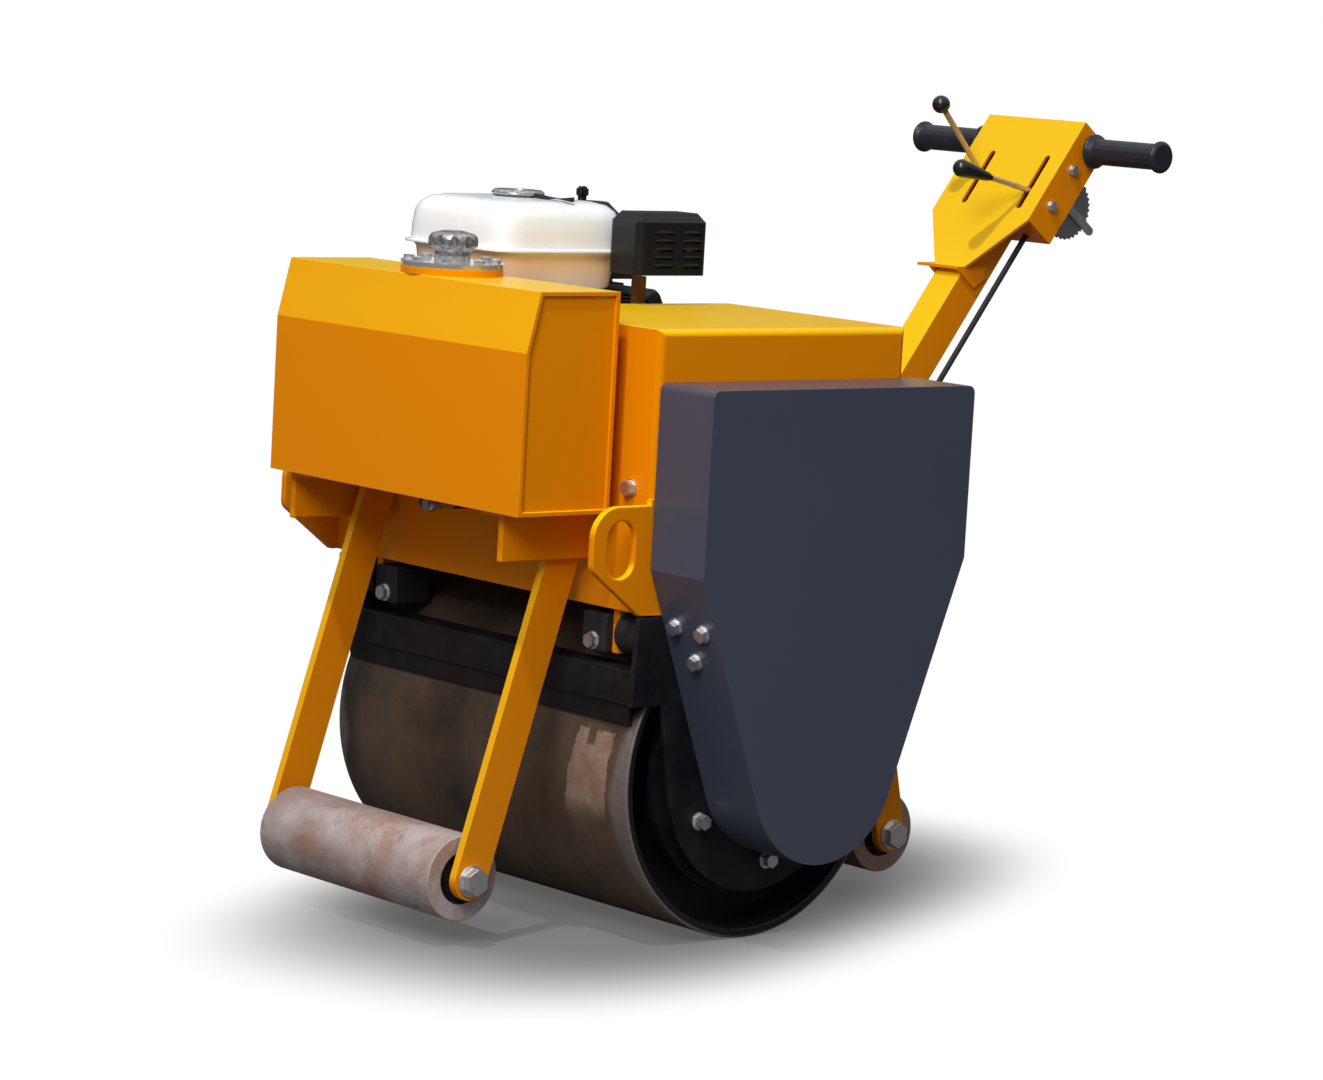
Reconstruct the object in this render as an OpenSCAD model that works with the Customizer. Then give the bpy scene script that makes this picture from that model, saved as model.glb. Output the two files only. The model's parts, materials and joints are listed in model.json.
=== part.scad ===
// Walk-behind single-drum vibratory roller, in millimetres.
// X runs across the machine, with the chain side at +X. Y runs back to the operator. Z is up.
// The origin is on the ground, straight under the middle of the drum.

/* [Drum] */
// Outer diameter of the drum
drum_d = 425; // [380:5:450]
// Length of the drum
drum_w = 600; // [560:10:620]
// Wall of the drum shell
drum_wall = 12; // [8:1:16]
// Depth of the recess in each drum end
hub_recess = 16; // [14:1:20]
// Diameter of the bolted hub flange
hub_flange_d = 312; // [260:4:330]
// Diameter of the hub barrel behind the flange
hub_barrel_d = 250; // [200:5:254]
// Thickness of the hub flange and of the drum's end plate
hub_plate_t = 12; // [8:1:14]
// Depth of the hub barrel between flange and end plate
hub_barrel_l = 37; // [20:1:60]
// Diameter of the hollow trunnion that carries the drum
trunnion_d = 84; // [74:2:90]
// Bore of the trunnion, round the exciter shaft
trunnion_bore_d = 58; // [54:1:60]
// Pitch diameter of the hub bolts
hub_bolt_pcd = 224; // [210:2:232]
// Number of hub bolts
hub_bolt_n = 6; // [4:1:8]

/* [Support rollers] */
// Outer diameter of the two steel support rollers
roller_d = 109; // [90:1:116]
// Length of each support roller
roller_w = 356; // [320:2:360]
// Wall of the support roller tube
roller_wall = 22; // [14:1:26]
// Height of the support roller axis above the ground
roller_z = 86; // [70:1:100]
// Distance of the front support roller's axis from the drum axis
roller_y = 368; // [350:1:400]
// Distance of the rear support roller's axis from the drum axis
rear_roller_y = 350; // [340:1:400]
// Diameter of the support roller axle
axle_d = 20; // [16:1:24]
// Width of the flat bar of a roller arm
arm_w = 50; // [40:1:60]
// Thickness of the flat bar of a roller arm
arm_t = 12; // [8:1:14]
// Gap between a roller end and its arm
arm_gap = 6; // [4:1:10]

/* [Frame] */
// Width of the frame over its side plates
frame_w = 618; // [610:2:640]
// How much further the frame stands out on its far side
far_reach = 32; // [0:2:40]
// Thickness of the side plates
side_t = 10; // [8:1:12]
// Thickness of the deck and of the aprons
deck_t = 8; // [6:1:10]
// Distance of the front apron from the drum axis
front_y = 205; // [195:1:215]
// Distance of the rear apron from the drum axis
rear_y = 211; // [200:1:220]
// Height of the deck's top above the ground
deck_z = 572; // [565:1:580]
// Height of the lower edge of the side plates above the ground
skirt_z = 426; // [424:1:432]
// How far a lifting eye stands out past its apron
eye_reach = 90; // [84:1:100]
// Width of the oval hole of a lifting eye
eye_hole_w = 44; // [36:1:46]
// Height of the oval hole of a lifting eye
eye_hole_h = 72; // [60:1:76]
// Width of a longitudinal frame beam
beam_w = 44; // [36:1:50]
// Distance of the beam's outer face from the middle
beam_x = 206; // [202:1:212]
// Height of the lower face of the beams above the ground
beam_z = 485; // [478:1:492]
// Reach of the front beams from the drum axis
beam_front_y = 355; // [345:1:362]
// Reach of the rear beams from the drum axis
beam_rear_y = 424; // [416:1:440]

/* [Water tank] */
// Width of the water tank
tank_w = 516; // [480:2:540]
// Depth of the water tank at its foot
tank_depth = 144; // [136:1:150]
// Height of the tank's foot above the ground
tank_z = 548; // [540:1:556]
// Height of the tank
tank_h = 275; // [250:1:300]
// Height of the sloping top of the tank's front
tank_slope_h = 75; // [60:1:90]
// How far the tank's front leans back over that slope
tank_slope_d = 18; // [10:1:24]
// Distance of the tank's rear face from the drum axis
tank_rear_y = 230; // [226:1:234]
// Wall of the tank
tank_wall = 4; // [3:1:6]
// Diameter of the filler flange
filler_flange_d = 130; // [120:2:134]
// Diameter of the filler neck
filler_neck_d = 46; // [40:1:50]
// Diameter of the filler cap
filler_cap_d = 63; // [56:1:70]

/* [Hood and side cover] */
// Distance of the hood's engine side from the middle
hood_in_x = 47; // [44:1:52]
// Height of the hood above the deck
hood_h = 209; // [200:1:220]
// Wall of the hood
hood_wall = 4; // [3:1:6]
// Radius of the hood's outer corners
hood_r = 10; // [6:1:16]
// Width of the side cover, across the machine
cover_t = 100; // [90:1:110]
// Wall of the side cover
cover_wall = 4; // [3:1:5]
// Distance of the cover's front face from the drum axis
cover_front_y = 203; // [196:1:208]
// Distance of the cover's rear face from the drum axis
cover_rear_y = 240; // [230:1:250]
// Height of the cover's top above the ground
cover_top_z = 716; // [705:1:730]
// Height of the cover's front fold above the ground
cover_fold_z = 484; // [470:1:500]
// Height of the cover's rear fold above the ground
cover_rear_fold_z = 495; // [480:1:510]
// Outer radius of the cover's round foot
cover_foot_r = 117; // [114:1:122]
// Height of the middle of the round foot above the ground
cover_foot_z = 230; // [226:1:236]
// Distance of the middle of the round foot behind the drum axis
cover_foot_y = 20; // [14:1:24]

/* [Drum carriers] */
// Thickness of a carrier plate
carrier_t = 8; // [6:1:8]
// Gap between the drum end and the carrier plate
carrier_gap = 3; // [2:0.5:4]
// Radius of the carrier's round foot
carrier_foot_r = 150; // [140:1:158]
// Diameter of a rubber mount
rubber_d = 52; // [44:1:54]
// Length of a rubber mount
rubber_l = 52; // [44:1:60]
// Distance of the rubber mounts from the drum axis
rubber_y = 180; // [170:1:184]
// Height of the rubber mounts above the ground
rubber_z = 396; // [390:1:398]
// Leg of the dark cross angle that carries a scraper
tie_leg = 44; // [36:1:48]
// Thickness of that angle
tie_t = 6; // [5:1:8]
// Distance of the cross angle's face from the drum axis
tie_y = 215; // [212:1:220]
// Height of the cross angle's top above the ground
tie_z = 356; // [350:1:362]
// Gap between a scraper blade and the drum
scraper_gap = 2; // [1:0.5:4]

/* [Engine] */
// Height of the crankshaft above the deck
crank_h = 106; // [100:1:112]
// Distance of the crankcase's drive face from the middle
crank_face_x = 60; // [56:1:66]
// Width of the crankcase along the crankshaft
crankcase_w = 172; // [150:1:180]
// Depth of the crankcase
crankcase_d = 160; // [140:1:170]
// Width of the fuel tank along the crankshaft
fuel_w = 228; // [210:1:240]
// Depth of the fuel tank
fuel_d = 232; // [200:1:240]
// Distance of the fuel tank's near side from the middle
fuel_x = 80; // [76:1:90]
// Distance of the fuel tank's front from the drum axis
fuel_y = 152; // [146:1:156]
// Height of the fuel tank's seam above the deck
fuel_seam_h = 271; // [266:1:276]
// Height of the fuel tank above its seam
fuel_top_h = 64; // [60:1:74]
// Diameter of the fuel cap
fuel_cap_d = 71; // [60:1:76]
// Distance of the muffler guard's near face from the middle
guard_x = 12; // [8:1:20]
// Width of the muffler guard along the crankshaft
guard_w = 66; // [60:1:68]
// Length of the muffler guard
guard_l = 120; // [110:1:126]
// Height of the muffler guard
guard_h = 70; // [62:1:76]
// Rows of louvres in the muffler guard
louvre_rows = 5; // [3:1:6]
// Columns of louvres in the muffler guard
louvre_cols = 2; // [1:1:3]

/* [Drive] */
// Diameter of the crankshaft and of the line shaft
shaft_d = 25; // [20:1:26]
// Diameter of the exciter shaft
exciter_d = 38; // [30:1:40]
// Pitch diameter of the drum's chain wheel
drum_sprocket_d = 144; // [136:2:148]
// Pitch diameter of the gearbox's chain wheel
out_sprocket_d = 62; // [54:1:66]
// Teeth on the drum's chain wheel
drum_teeth = 36; // [30:1:40]
// Width of the drive chain
chain_w = 10; // [8:1:11]
// Height of the drive chain's links
chain_h = 9; // [8:1:10]
// Diameter of the vibration pulley on the line shaft
vib_pulley_d = 100; // [90:1:108]
// Diameter of the exciter's pulley
exciter_pulley_d = 104; // [98:1:110]
// Width of the V-belts
belt_w = 14; // [12:1:16]
// Thickness of the V-belts
belt_t = 9; // [8:1:10]
// Diameter of the two pulleys on the crankshaft
crank_pulley_d = 72; // [66:1:76]
// Diameter of the gearbox's own pulley
box_pulley_d = 110; // [100:1:114]

/* [Handle] */
// Lean of the handle column from the vertical, in degrees
lean = 36.6; // [34:0.2:39]
// Height of the console's upper edge above the ground
console_z = 1044; // [1030:1:1060]
// Distance of the console's upper edge behind the drum axis
console_y = 737; // [725:1:750]
// Width of the console
console_w = 190; // [180:1:200]
// Length of the console's full-width part
console_l = 170; // [160:1:180]
// Length of the console's tapering part
console_taper = 88; // [70:1:95]
// Depth of the console
console_d = 57; // [56:1:64]
// Sheet thickness of the console
console_t = 4; // [3:1:5]
// Width and depth of the column tube
column_w = 50; // [44:1:56]
// Wall of the column tube
column_wall = 4; // [3:1:6]
// Diameter of the handlebar
bar_d = 28; // [24:1:30]
// Reach of the handlebar to the left of the machine's middle, at -X
bar_left = 241; // [230:1:270]
// Reach of the handlebar to the right of the machine's middle, at +X
bar_right = 229; // [220:1:240]
// Diameter of a grip
grip_d = 36; // [33:1:40]
// Diameter of a grip's flanges
grip_flange_d = 48; // [42:1:52]
// Length of a grip
grip_l = 132; // [120:1:136]
// Length of a lever slot
slot_l = 92; // [84:1:96]
// Width of a lever slot
slot_w = 10; // [9:0.5:12]
// Distance of each lever slot from the middle
slot_x = 54; // [48:1:58]
// Distance of the middle of the slots below the console's upper edge
slot_s = 107; // [104:1:110]
// Diameter of the lever rods
rod_d = 8; // [6:0.5:8]
// Diameter of the travel lever's ball
ball_d = 25; // [20:1:30]
// Diameter of the control cable
cable_d = 8; // [6:0.5:9]

/* [Hidden] */
$fn = 48;

// One overrun for every cut
cut = 1;
// Radial clearance of a running fit, and the play between faces that move past each other
fit = 0.05;
play = 0.5;

// Drum, worked out
drum_r = drum_d / 2;
drum_in_r = drum_r - drum_wall;
flange_x = drum_w / 2 - hub_recess;
end_plate_x = flange_x - hub_plate_t - hub_barrel_l;
carrier_x = drum_w / 2 + carrier_gap;
carrier_out_x = carrier_x + carrier_t;
hub_bolt_d = 12;
hub_nut_h = 8;
hub_bolt_turn = 40;
housing_d = 120;
housing_l = 16;

// Frame, worked out
frame_x = frame_w / 2;
plate_in_x = frame_x - side_t;
plate_far_x = plate_in_x + far_reach;
deck_under_z = deck_z - deck_t;
eye_r = 40;
eye_cut_r = 16;
eye_top_drop = 8;
eye_hole_y = 45;
eye_hole_z = 510;
hanger_t = 12;
hanger_w = 56;
hanger_x = min(carrier_x - rubber_l, plate_in_x - play);
cover_gap = 2;

// Chain and belt planes in the side cover
sprocket_t = 8;
chain_gap = 5;
belt_gap = 42;
cover_in_x = max(carrier_out_x, frame_x + cover_gap);
chain_x = cover_in_x + housing_l + chain_gap;
vib_x = chain_x + belt_gap;
out_y = 78;
out_z = 640;
box_in_y = 138;
box_in_z = 648;
box_belt_x = 92;
line_belt_x = 52;
line_y = 92;
line_z = 638;

// Engine, worked out
crank_z = deck_z + crank_h;
seam_z = deck_z + fuel_seam_h;

// A bar along X between two places
module bar_x(x0, x1, d) {
  translate([x0, 0, 0])
    rotate([0, 90, 0])
      cylinder(h = x1 - x0, d = d);
}

// A tube along X between two places
module tube_x(x0, x1, d, bore) {
  difference() {
    bar_x(x0, x1, d);
    bar_x(x0 - cut, x1 + cut, bore);
  }
}

// A plate of the given YZ outline, from x0 and t thick
module plate_x(x0, t) {
  translate([x0, 0, 0])
    rotate([90, 0, 90])
      linear_extrude(t)
        children();
}

// A block between two corners
module block(a, b) {
  translate(a)
    cube(b - a);
}

// A flat shape with round corners, centred
module round_rect(w, h, r) {
  square([w - 2 * r, h], center = true);
  square([w, h - 2 * r], center = true);
  for (sx = [-1, 1], sy = [-1, 1])
    translate([sx * (w / 2 - r), sy * (h / 2 - r)])
      circle(r);
}

// A slot with round ends, centred, along its first axis
module slot_shape(l, w) {
  square([l - w, w], center = true);
  for (s = [-1, 1])
    translate([s * (l - w) / 2, 0])
      circle(d = w);
}

// A hexagon head bolt lying along X: the head's foot is at x = 0 and the head points to +X
module hex_head_x(across, h, washer_t) {
  bar_x(0, washer_t, across * washer_share);
  translate([washer_t, 0, 0])
    rotate([0, 90, 0])
      cylinder(h = h, d = across * corner_share, $fn = 6);
}
washer_share = 1.35;
corner_share = 1.155;

// Points of an arc from angle a0 to a1
function arc(c, r, a0, a1, n = 12) =
  [for (i = [0:n]) let (a = a0 + (a1 - a0) * i / n) [c[0] + r * cos(a), c[1] + r * sin(a)]];

// Angle at which the tangent from p touches the circle (c, r); side is 1 or -1
function tangent_angle(p, c, r, side) =
  atan2(p[1] - c[1], p[0] - c[0]) + side * acos(r / norm(p - c));

// Both halves of a closed belt or chain round two wheels, as one outline
module belt_shape(c1, r1, c2, r2) {
  d = c2 - c1;
  base = atan2(d[1], d[0]);
  open = acos((r1 - r2) / norm(d));
  polygon(concat(
    arc(c1, r1, base + open, base + 360 - open, 40),
    arc(c2, r2, base - open, base + open, 40)));
}

// A closed loop of belt or chain in the plane x
module loop_x(x, w, c1, r1, c2, r2, t) {
  plate_x(x - w / 2, w)
    difference() {
      belt_shape(c1, r1 + t, c2, r2 + t);
      belt_shape(c1, r1, c2, r2);
    }
}

/* Frame: folded and welded steel plate */
module deck_plate() {
  color("gold")
    block([-plate_far_x, -front_y + deck_t, deck_under_z],
       [plate_in_x, rear_y - deck_t, deck_z]);
}

// Lifting eye outline at the front or rear end of a side plate
module eye_shape(edge_y) {
  top = deck_z - eye_top_drop;
  tip = edge_y + eye_reach;
  polygon(concat(
    [[edge_y - side_t, skirt_z], [edge_y + side_t, skirt_z]],
    arc([tip - eye_cut_r, eye_hole_z - eye_cut_r], eye_cut_r, -45, 0, 6),
    arc([tip - eye_r, top - eye_r], eye_r, 0, 90, 12),
    [[edge_y - side_t, top]]));
}

module side_outline() {
  difference() {
    union() {
      translate([-front_y, skirt_z])
        square([front_y + rear_y, deck_z - skirt_z]);
      mirror([1, 0])
        eye_shape(front_y);
      eye_shape(rear_y);
    }
    translate([-front_y - eye_hole_y, eye_hole_z])
      rotate(90)
        slot_shape(eye_hole_h, eye_hole_w);
    translate([rear_y + eye_hole_y, eye_hole_z])
      rotate(90)
        slot_shape(eye_hole_h, eye_hole_w);
  }
}

module side_plate_left() {
  color("gold")
    plate_x(plate_in_x, side_t)
      side_outline();
}

module side_plate_right() {
  color("gold")
    mirror([1, 0, 0])
      translate([far_reach, 0, 0])
        side_plate_left();
}

module aprons() {
  color("gold") {
    mirror([0, 1, 0])
      apron_front_half();
    apron_rear_half();
  }
}

// The front apron is drawn at +Y and mirrored, with a hole for the water hose
module apron_front_half() {
  inner = front_y - deck_t;
  difference() {
    block([-plate_far_x, inner, skirt_z], [plate_in_x, front_y, deck_z]);
    translate([0, inner - cut, hose_z])
      rotate([-90, 0, 0])
        cylinder(h = deck_t + 2 * cut, d = hose_d + 2 * hose_room);
  }
  hangers(inner);
}

module apron_rear_half() {
  inner = rear_y - deck_t;
  block([-plate_far_x, inner, skirt_z], [plate_in_x, rear_y, deck_z]);
  hangers(inner);
}

// Two hanger plates behind an apron, one for each rubber mount
module hangers(y) {
  for (s = [-1, 1])
    translate([s * (hanger_x - hanger_t / 2), 0, 0])
      block([-hanger_t / 2, rubber_y - hanger_w / 2, rubber_z - rubber_d / 2],
         [hanger_t / 2, y, deck_under_z]);
}

// One pair of angle beams under the tank or behind the frame: a web outside, a flange on top
beam_t = 10;
flange_low_z = tank_z - beam_t * 0.8;

module beam_pair(y0, y1) {
  for (m = [0, 1])
    mirror([m, 0, 0])
      translate([beam_x + m * far_reach, 0, 0]) {
        block([-beam_t, y0, beam_z], [0, y1, tank_z]);
        block([-beam_w, y0, flange_low_z], [0, y1, tank_z]);
      }
}

module front_beams() {
  color("gold")
    beam_pair(-beam_front_y, -front_y);
}

module rear_beams() {
  color("gold") {
    beam_pair(rear_y, beam_rear_y);
    block([-beam_x - far_reach + beam_t / 2, foot_y - foot_w / 2, beam_z],
       [beam_x - beam_t / 2, foot_y + foot_w / 2, tank_z]);
  }
}

// Roller arm: a flat bar that slants from the beam's flange to the roller axle, with a round eye
arm_top_gap = 43;
arm_far = 16;
arm_in_x = roller_w / 2 + arm_gap;

module arm_shape(axle_y, edge_y) {
  top = [edge_y + arm_top_gap, beam_z];
  run = [axle_y, roller_z] - top;
  across = [-run[1], run[0]] / norm(run) * arm_w / 2;
  half_level = [arm_w / 2 * norm(run) / (beam_z - roller_z), 0];
  head = top + run * (flange_low_z - beam_z) / run[1];
  difference() {
    union() {
      polygon([
        head + half_level, [axle_y, roller_z] + across,
        [axle_y, roller_z] - across, head - half_level]);
      translate([axle_y, roller_z])
        circle(d = arm_w);
    }
    translate([axle_y, roller_z])
      circle(d = axle_d);
  }
}

module arm_pair(axle_y, edge_y) {
  for (m = [0, 1])
    mirror([m, 0, 0])
      plate_x(arm_in_x + m * arm_far, arm_t)
        arm_shape(axle_y, edge_y);
}

module front_arms() {
  color("gold")
    mirror([0, 1, 0])
      arm_pair(roller_y, front_y);
}

module rear_arms() {
  color("gold")
    arm_pair(rear_roller_y, rear_y);
}

// Axle bolts of the support rollers, with their hexagon heads and nuts
axle_head_h = 12;
axle_head_af = 30;
axle_washer_t = 3;
bearing_l = 15;

module roller_axles() {
  color("silver")
    for (y = [-roller_y, rear_roller_y])
      translate([0, y, roller_z]) {
        bar_x(-arm_in_x - arm_far - arm_t, arm_in_x + arm_t, axle_d);
        for (m = [0, 1])
          mirror([m, 0, 0]) {
            translate([arm_in_x + m * arm_far + arm_t, 0, 0])
              hex_head_x(axle_head_af, axle_head_h, axle_washer_t);
            tube_x(roller_w / 2 - bearing_l / 3, arm_in_x + m * arm_far,
                axle_d + axle_washer_t * 2, axle_d);
          }
      }
}

// A support roller: thick tube with a bearing ring pressed in each end
module support_roller() {
  tube_x(-roller_w / 2, roller_w / 2, roller_d, roller_d - 2 * roller_wall);
  for (m = [0, 1])
    mirror([m, 0, 0])
      tube_x(roller_w / 2 - bearing_l * 1.6, roller_w / 2 - bearing_l * 0.6,
          roller_d - 2 * roller_wall, axle_d + 2 * fit);
}

module front_roller() {
  color("rosybrown")
    translate([0, -roller_y, roller_z])
      support_roller();
}

module rear_roller() {
  color("rosybrown")
    translate([0, rear_roller_y, roller_z])
      support_roller();
}

/* Drum: rolled shell, end plates with bolted hubs, and hollow trunnions */
module at_drum() {
  translate([0, 0, drum_r])
    children();
}

module drum_shell() {
  color("dimgray")
    at_drum()
      tube_x(-drum_w / 2, drum_w / 2, drum_d, 2 * drum_in_r);
}

trunnion_end_x = chain_x + sprocket_t / 2 + play;

module drum_hub(end_x) {
  difference() {
    union() {
      bar_x(end_plate_x - hub_plate_t, end_plate_x, 2 * drum_in_r);
      bar_x(end_plate_x, flange_x - hub_plate_t, hub_barrel_d);
      bar_x(flange_x - hub_plate_t, flange_x, hub_flange_d);
      bar_x(flange_x, end_x, trunnion_d);
    }
    bar_x(end_plate_x - hub_plate_t - cut, end_x + cut, trunnion_bore_d);
  }
  for (i = [0:hub_bolt_n - 1])
    rotate([hub_bolt_turn + i * 360 / hub_bolt_n, 0, 0])
      translate([flange_x - play, 0, -hub_bolt_pcd / 2]) {
        rotate([0, 90, 0])
          cylinder(h = hub_nut_h, d = hub_bolt_d * nut_share, $fn = 6);
        bar_x(0, hub_nut_h + hub_bolt_d / 3, hub_bolt_d);
      }
}
nut_share = 1.8;

module drum_hubs() {
  color("black")
    at_drum() {
      drum_hub(trunnion_end_x);
      mirror([1, 0, 0])
        drum_hub(carrier_out_x + housing_l);
    }
}

// A chain wheel outline with one tooth for each link
module sprocket_shape(d, teeth, bore) {
  tooth = chain_h * tooth_share;
  difference() {
    polygon([for (i = [0:teeth * 4 - 1])
      let (a = i * 90 / teeth, r = d / 2 + (i % 4 < 2 ? tooth : -tooth))
        [r * cos(a), r * sin(a)]]);
    circle(d = bore);
  }
}
tooth_share = 0.3;

module drum_sprocket() {
  color("dimgray")
    at_drum()
      plate_x(chain_x - sprocket_t / 2, sprocket_t)
        sprocket_shape(drum_sprocket_d, drum_teeth, trunnion_d);
}

// Exciter: a shaft through both trunnions with two eccentric weights in the drum
exciter_end_x = vib_x + belt_w;
weight_w = 60;
weight_x = 110;
weight_r = 78;

module exciter_shaft() {
  color("slategray")
    at_drum() {
      bar_x(-end_plate_x - hub_barrel_l, exciter_end_x, exciter_d);
      for (s = [-1, 1])
        translate([s * weight_x - weight_w / 2, 0, 0])
          plate_x(0, weight_w)
            difference() {
              circle(weight_r);
              translate([-weight_r - cut, exciter_d * 0.4])
                square([2 * weight_r + 2 * cut, weight_r]);
            }
      for (m = [0, 1])
        mirror([m, 0, 0])
          tube_x(end_plate_x - hub_plate_t, end_plate_x + hub_barrel_l,
              trunnion_bore_d - 2 * fit, exciter_d);
    }
}

// A V-belt pulley between two flanges
module v_pulley(x, d, bore) {
  flange = belt_t * 0.6;
  difference() {
    translate([x, 0, 0])
      rotate([0, 90, 0])
        rotate_extrude()
          polygon([
            [0, -belt_w * 0.8], [d / 2 + flange, -belt_w * 0.8],
            [d / 2 + flange, -belt_w * 0.56], [d / 2 - play, -belt_w * 0.5],
            [d / 2 - play, belt_w * 0.5], [d / 2 + flange, belt_w * 0.56],
            [d / 2 + flange, belt_w * 0.8], [0, belt_w * 0.8]]);
    bar_x(x - belt_w, x + belt_w, bore);
  }
}

module exciter_pulley() {
  color("gray")
    at_drum()
      v_pulley(vib_x, exciter_pulley_d, exciter_d);
}

/* Drum carriers: dark side plates that hang in the rubber mounts */
ear_low_z = 312;

module carrier_outline() {
  top = skirt_z - 4 * play;
  foot = [0, drum_r];
  front = [-rubber_y - rubber_d / 2 - side_t, top];
  back = [rubber_y + rubber_d / 2 + side_t, top];
  low_front = [-cover_front_y + carrier_inset, cover_fold_z - carrier_inset * 4];
  low_back = [cover_front_y - carrier_inset, cover_fold_z - carrier_inset * 4];
  polygon(concat(
    [front, [-tie_y - tie_t, ear_low_z + side_t], [-tie_y - tie_t, ear_low_z],
     [-tie_y + tie_leg, ear_low_z]],
    arc(foot, carrier_foot_r,
      tangent_angle(low_front, foot, carrier_foot_r, 1),
      360 + tangent_angle(low_back, foot, carrier_foot_r, -1), 30),
    [[tie_y - tie_leg, ear_low_z], [tie_y + tie_t, ear_low_z],
     [tie_y + tie_t, ear_low_z + side_t], back]));
}
carrier_inset = 20;

module carrier() {
  difference() {
    plate_x(carrier_x, carrier_t)
      carrier_outline();
    at_drum()
      bar_x(carrier_x - cut, carrier_out_x + cut, trunnion_d + 4 * play);
  }
}

module carrier_left() {
  color("darkslategray")
    carrier();
}

module carrier_right() {
  color("darkslategray")
    mirror([1, 0, 0])
      carrier();
}

// Rubber mounts outside the hangers, and a rubber stop block inside each of them
stop_l = 46;
stop_drop = 4;

module rubber_mounts() {
  color("black")
    for (sx = [0, 1], sy = [-1, 1])
      mirror([sx, 0, 0])
        translate([0, sy * rubber_y, rubber_z]) {
          bar_x(hanger_x, carrier_x, rubber_d);
          block([hanger_x - hanger_t - stop_l, -hanger_w / 2, -rubber_d / 2],
             [hanger_x - hanger_t, hanger_w / 2, rubber_d / 2 - stop_drop]);
        }
}

// Dark angle bars between the carriers, one before and one behind the drum
module carrier_ties() {
  color("darkslategray")
    for (m = [0, 1])
      mirror([0, m, 0])
        plate_x(-carrier_x, 2 * carrier_x)
          polygon([
            [-tie_y, tie_z], [-tie_y + tie_leg, tie_z],
            [-tie_y + tie_leg, tie_z - tie_t], [-tie_y + tie_t, tie_z - tie_t],
            [-tie_y + tie_t, tie_z - tie_leg], [-tie_y, tie_z - tie_leg]]);
}

// Scraper blades bolted behind the angle bars, with their edge close to the drum
scraper_t = 4;
scraper_low = 26;

module scrapers() {
  low_z = tie_z - tie_leg - scraper_low;
  edge_y = sqrt((drum_r + scraper_gap) * (drum_r + scraper_gap)
    - (low_z - drum_r) * (low_z - drum_r));
  color("slategray")
    for (m = [0, 1])
      mirror([0, m, 0])
        plate_x(-drum_w / 2 + side_t, drum_w - 2 * side_t)
          polygon([
            [-tie_y + tie_t, tie_z - tie_t - play], [-tie_y + tie_t, tie_z - tie_leg],
            [-edge_y - scraper_t, low_z], [-edge_y, low_z],
            [-tie_y + tie_t + scraper_t, tie_z - tie_leg],
            [-tie_y + tie_t + scraper_t, tie_z - tie_t - play]]);
}

// Flanged bearing housings on both carriers, round the trunnions
module bearing_housings() {
  color("slategray") {
    at_drum() {
      carrier_housing(housing_l);
      mirror([1, 0, 0]) {
        carrier_housing(housing_l + 2 * play);
        bar_x(carrier_out_x + housing_l + 2 * play, carrier_out_x + housing_l + cap_t, housing_d);
      }
    }
    for (x = [block_x1, block_x2])
      translate([x, 0, 0])
        pillow_block();
  }
}
cap_t = 7;
housing_lip = 16;

module carrier_housing(l) {
  tube_x(carrier_out_x, carrier_out_x + housing_l * 0.4, housing_d + 2 * housing_lip,
      trunnion_d + 2 * fit);
  tube_x(carrier_out_x + housing_l * 0.4, carrier_out_x + l, housing_d, trunnion_d + 2 * fit);
}

block_x1 = 96;
block_x2 = 262;
block_t = 24;
block_w = 60;

// Pillow block of the line shaft, standing on the deck
module pillow_block() {
  difference() {
    union() {
      block([-block_t / 2, -line_y - block_w, deck_z],
         [block_t / 2, -line_y + block_w, deck_z + block_t / 2]);
      block([-block_t / 3, -line_y - block_w / 2, deck_z],
         [block_t / 3, -line_y + block_w / 2, line_z]);
      translate([0, -line_y, line_z])
        bar_x(-block_t / 2, block_t / 2, block_w);
    }
    translate([0, -line_y, line_z])
      bar_x(-block_t, block_t, shaft_d + 2 * fit);
  }
}

/* Water system */
hose_d = 16;
hose_room = 4;
hose_z = 531;
outlet_y = 307;
valve_d = 20;
valve_l = 44;

module tank_outline(inset) {
  y1 = tank_rear_y + tank_depth;
  polygon([
    [-y1 + inset, tank_z + inset], [-y1 + inset, tank_z + tank_h - tank_slope_h],
    [-y1 + tank_slope_d + inset, tank_z + tank_h - inset],
    [-tank_rear_y - inset, tank_z + tank_h - inset], [-tank_rear_y - inset, tank_z + inset]]);
}

filler_y = (tank_rear_y + tank_rear_y + tank_depth - tank_slope_d) / 2;
tank_top_z = tank_z + tank_h;
riser_h = 10;
flange_t = 6;
flange_bolt_n = 8;
flange_bolt_d = 8;

module water_tank() {
  color("gold") {
    difference() {
      plate_x(-tank_w / 2, tank_w)
        tank_outline(0);
      plate_x(-tank_w / 2 + tank_wall, tank_w - 2 * tank_wall)
        tank_outline(tank_wall);
      translate([0, -filler_y, tank_top_z - tank_wall - cut])
        cylinder(h = tank_wall + 2 * cut, d = filler_flange_d - 4 * riser_h);
      translate([0, -outlet_y, tank_z - cut])
        cylinder(h = tank_wall + 2 * cut, d = hose_d);
    }
    translate([0, -filler_y, tank_top_z])
      difference() {
        cylinder(h = riser_h, d = filler_flange_d);
        translate([0, 0, -cut])
          cylinder(h = riser_h + 2 * cut, d = filler_flange_d - 4 * riser_h);
      }
  }
}

neck_h = 8;

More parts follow.
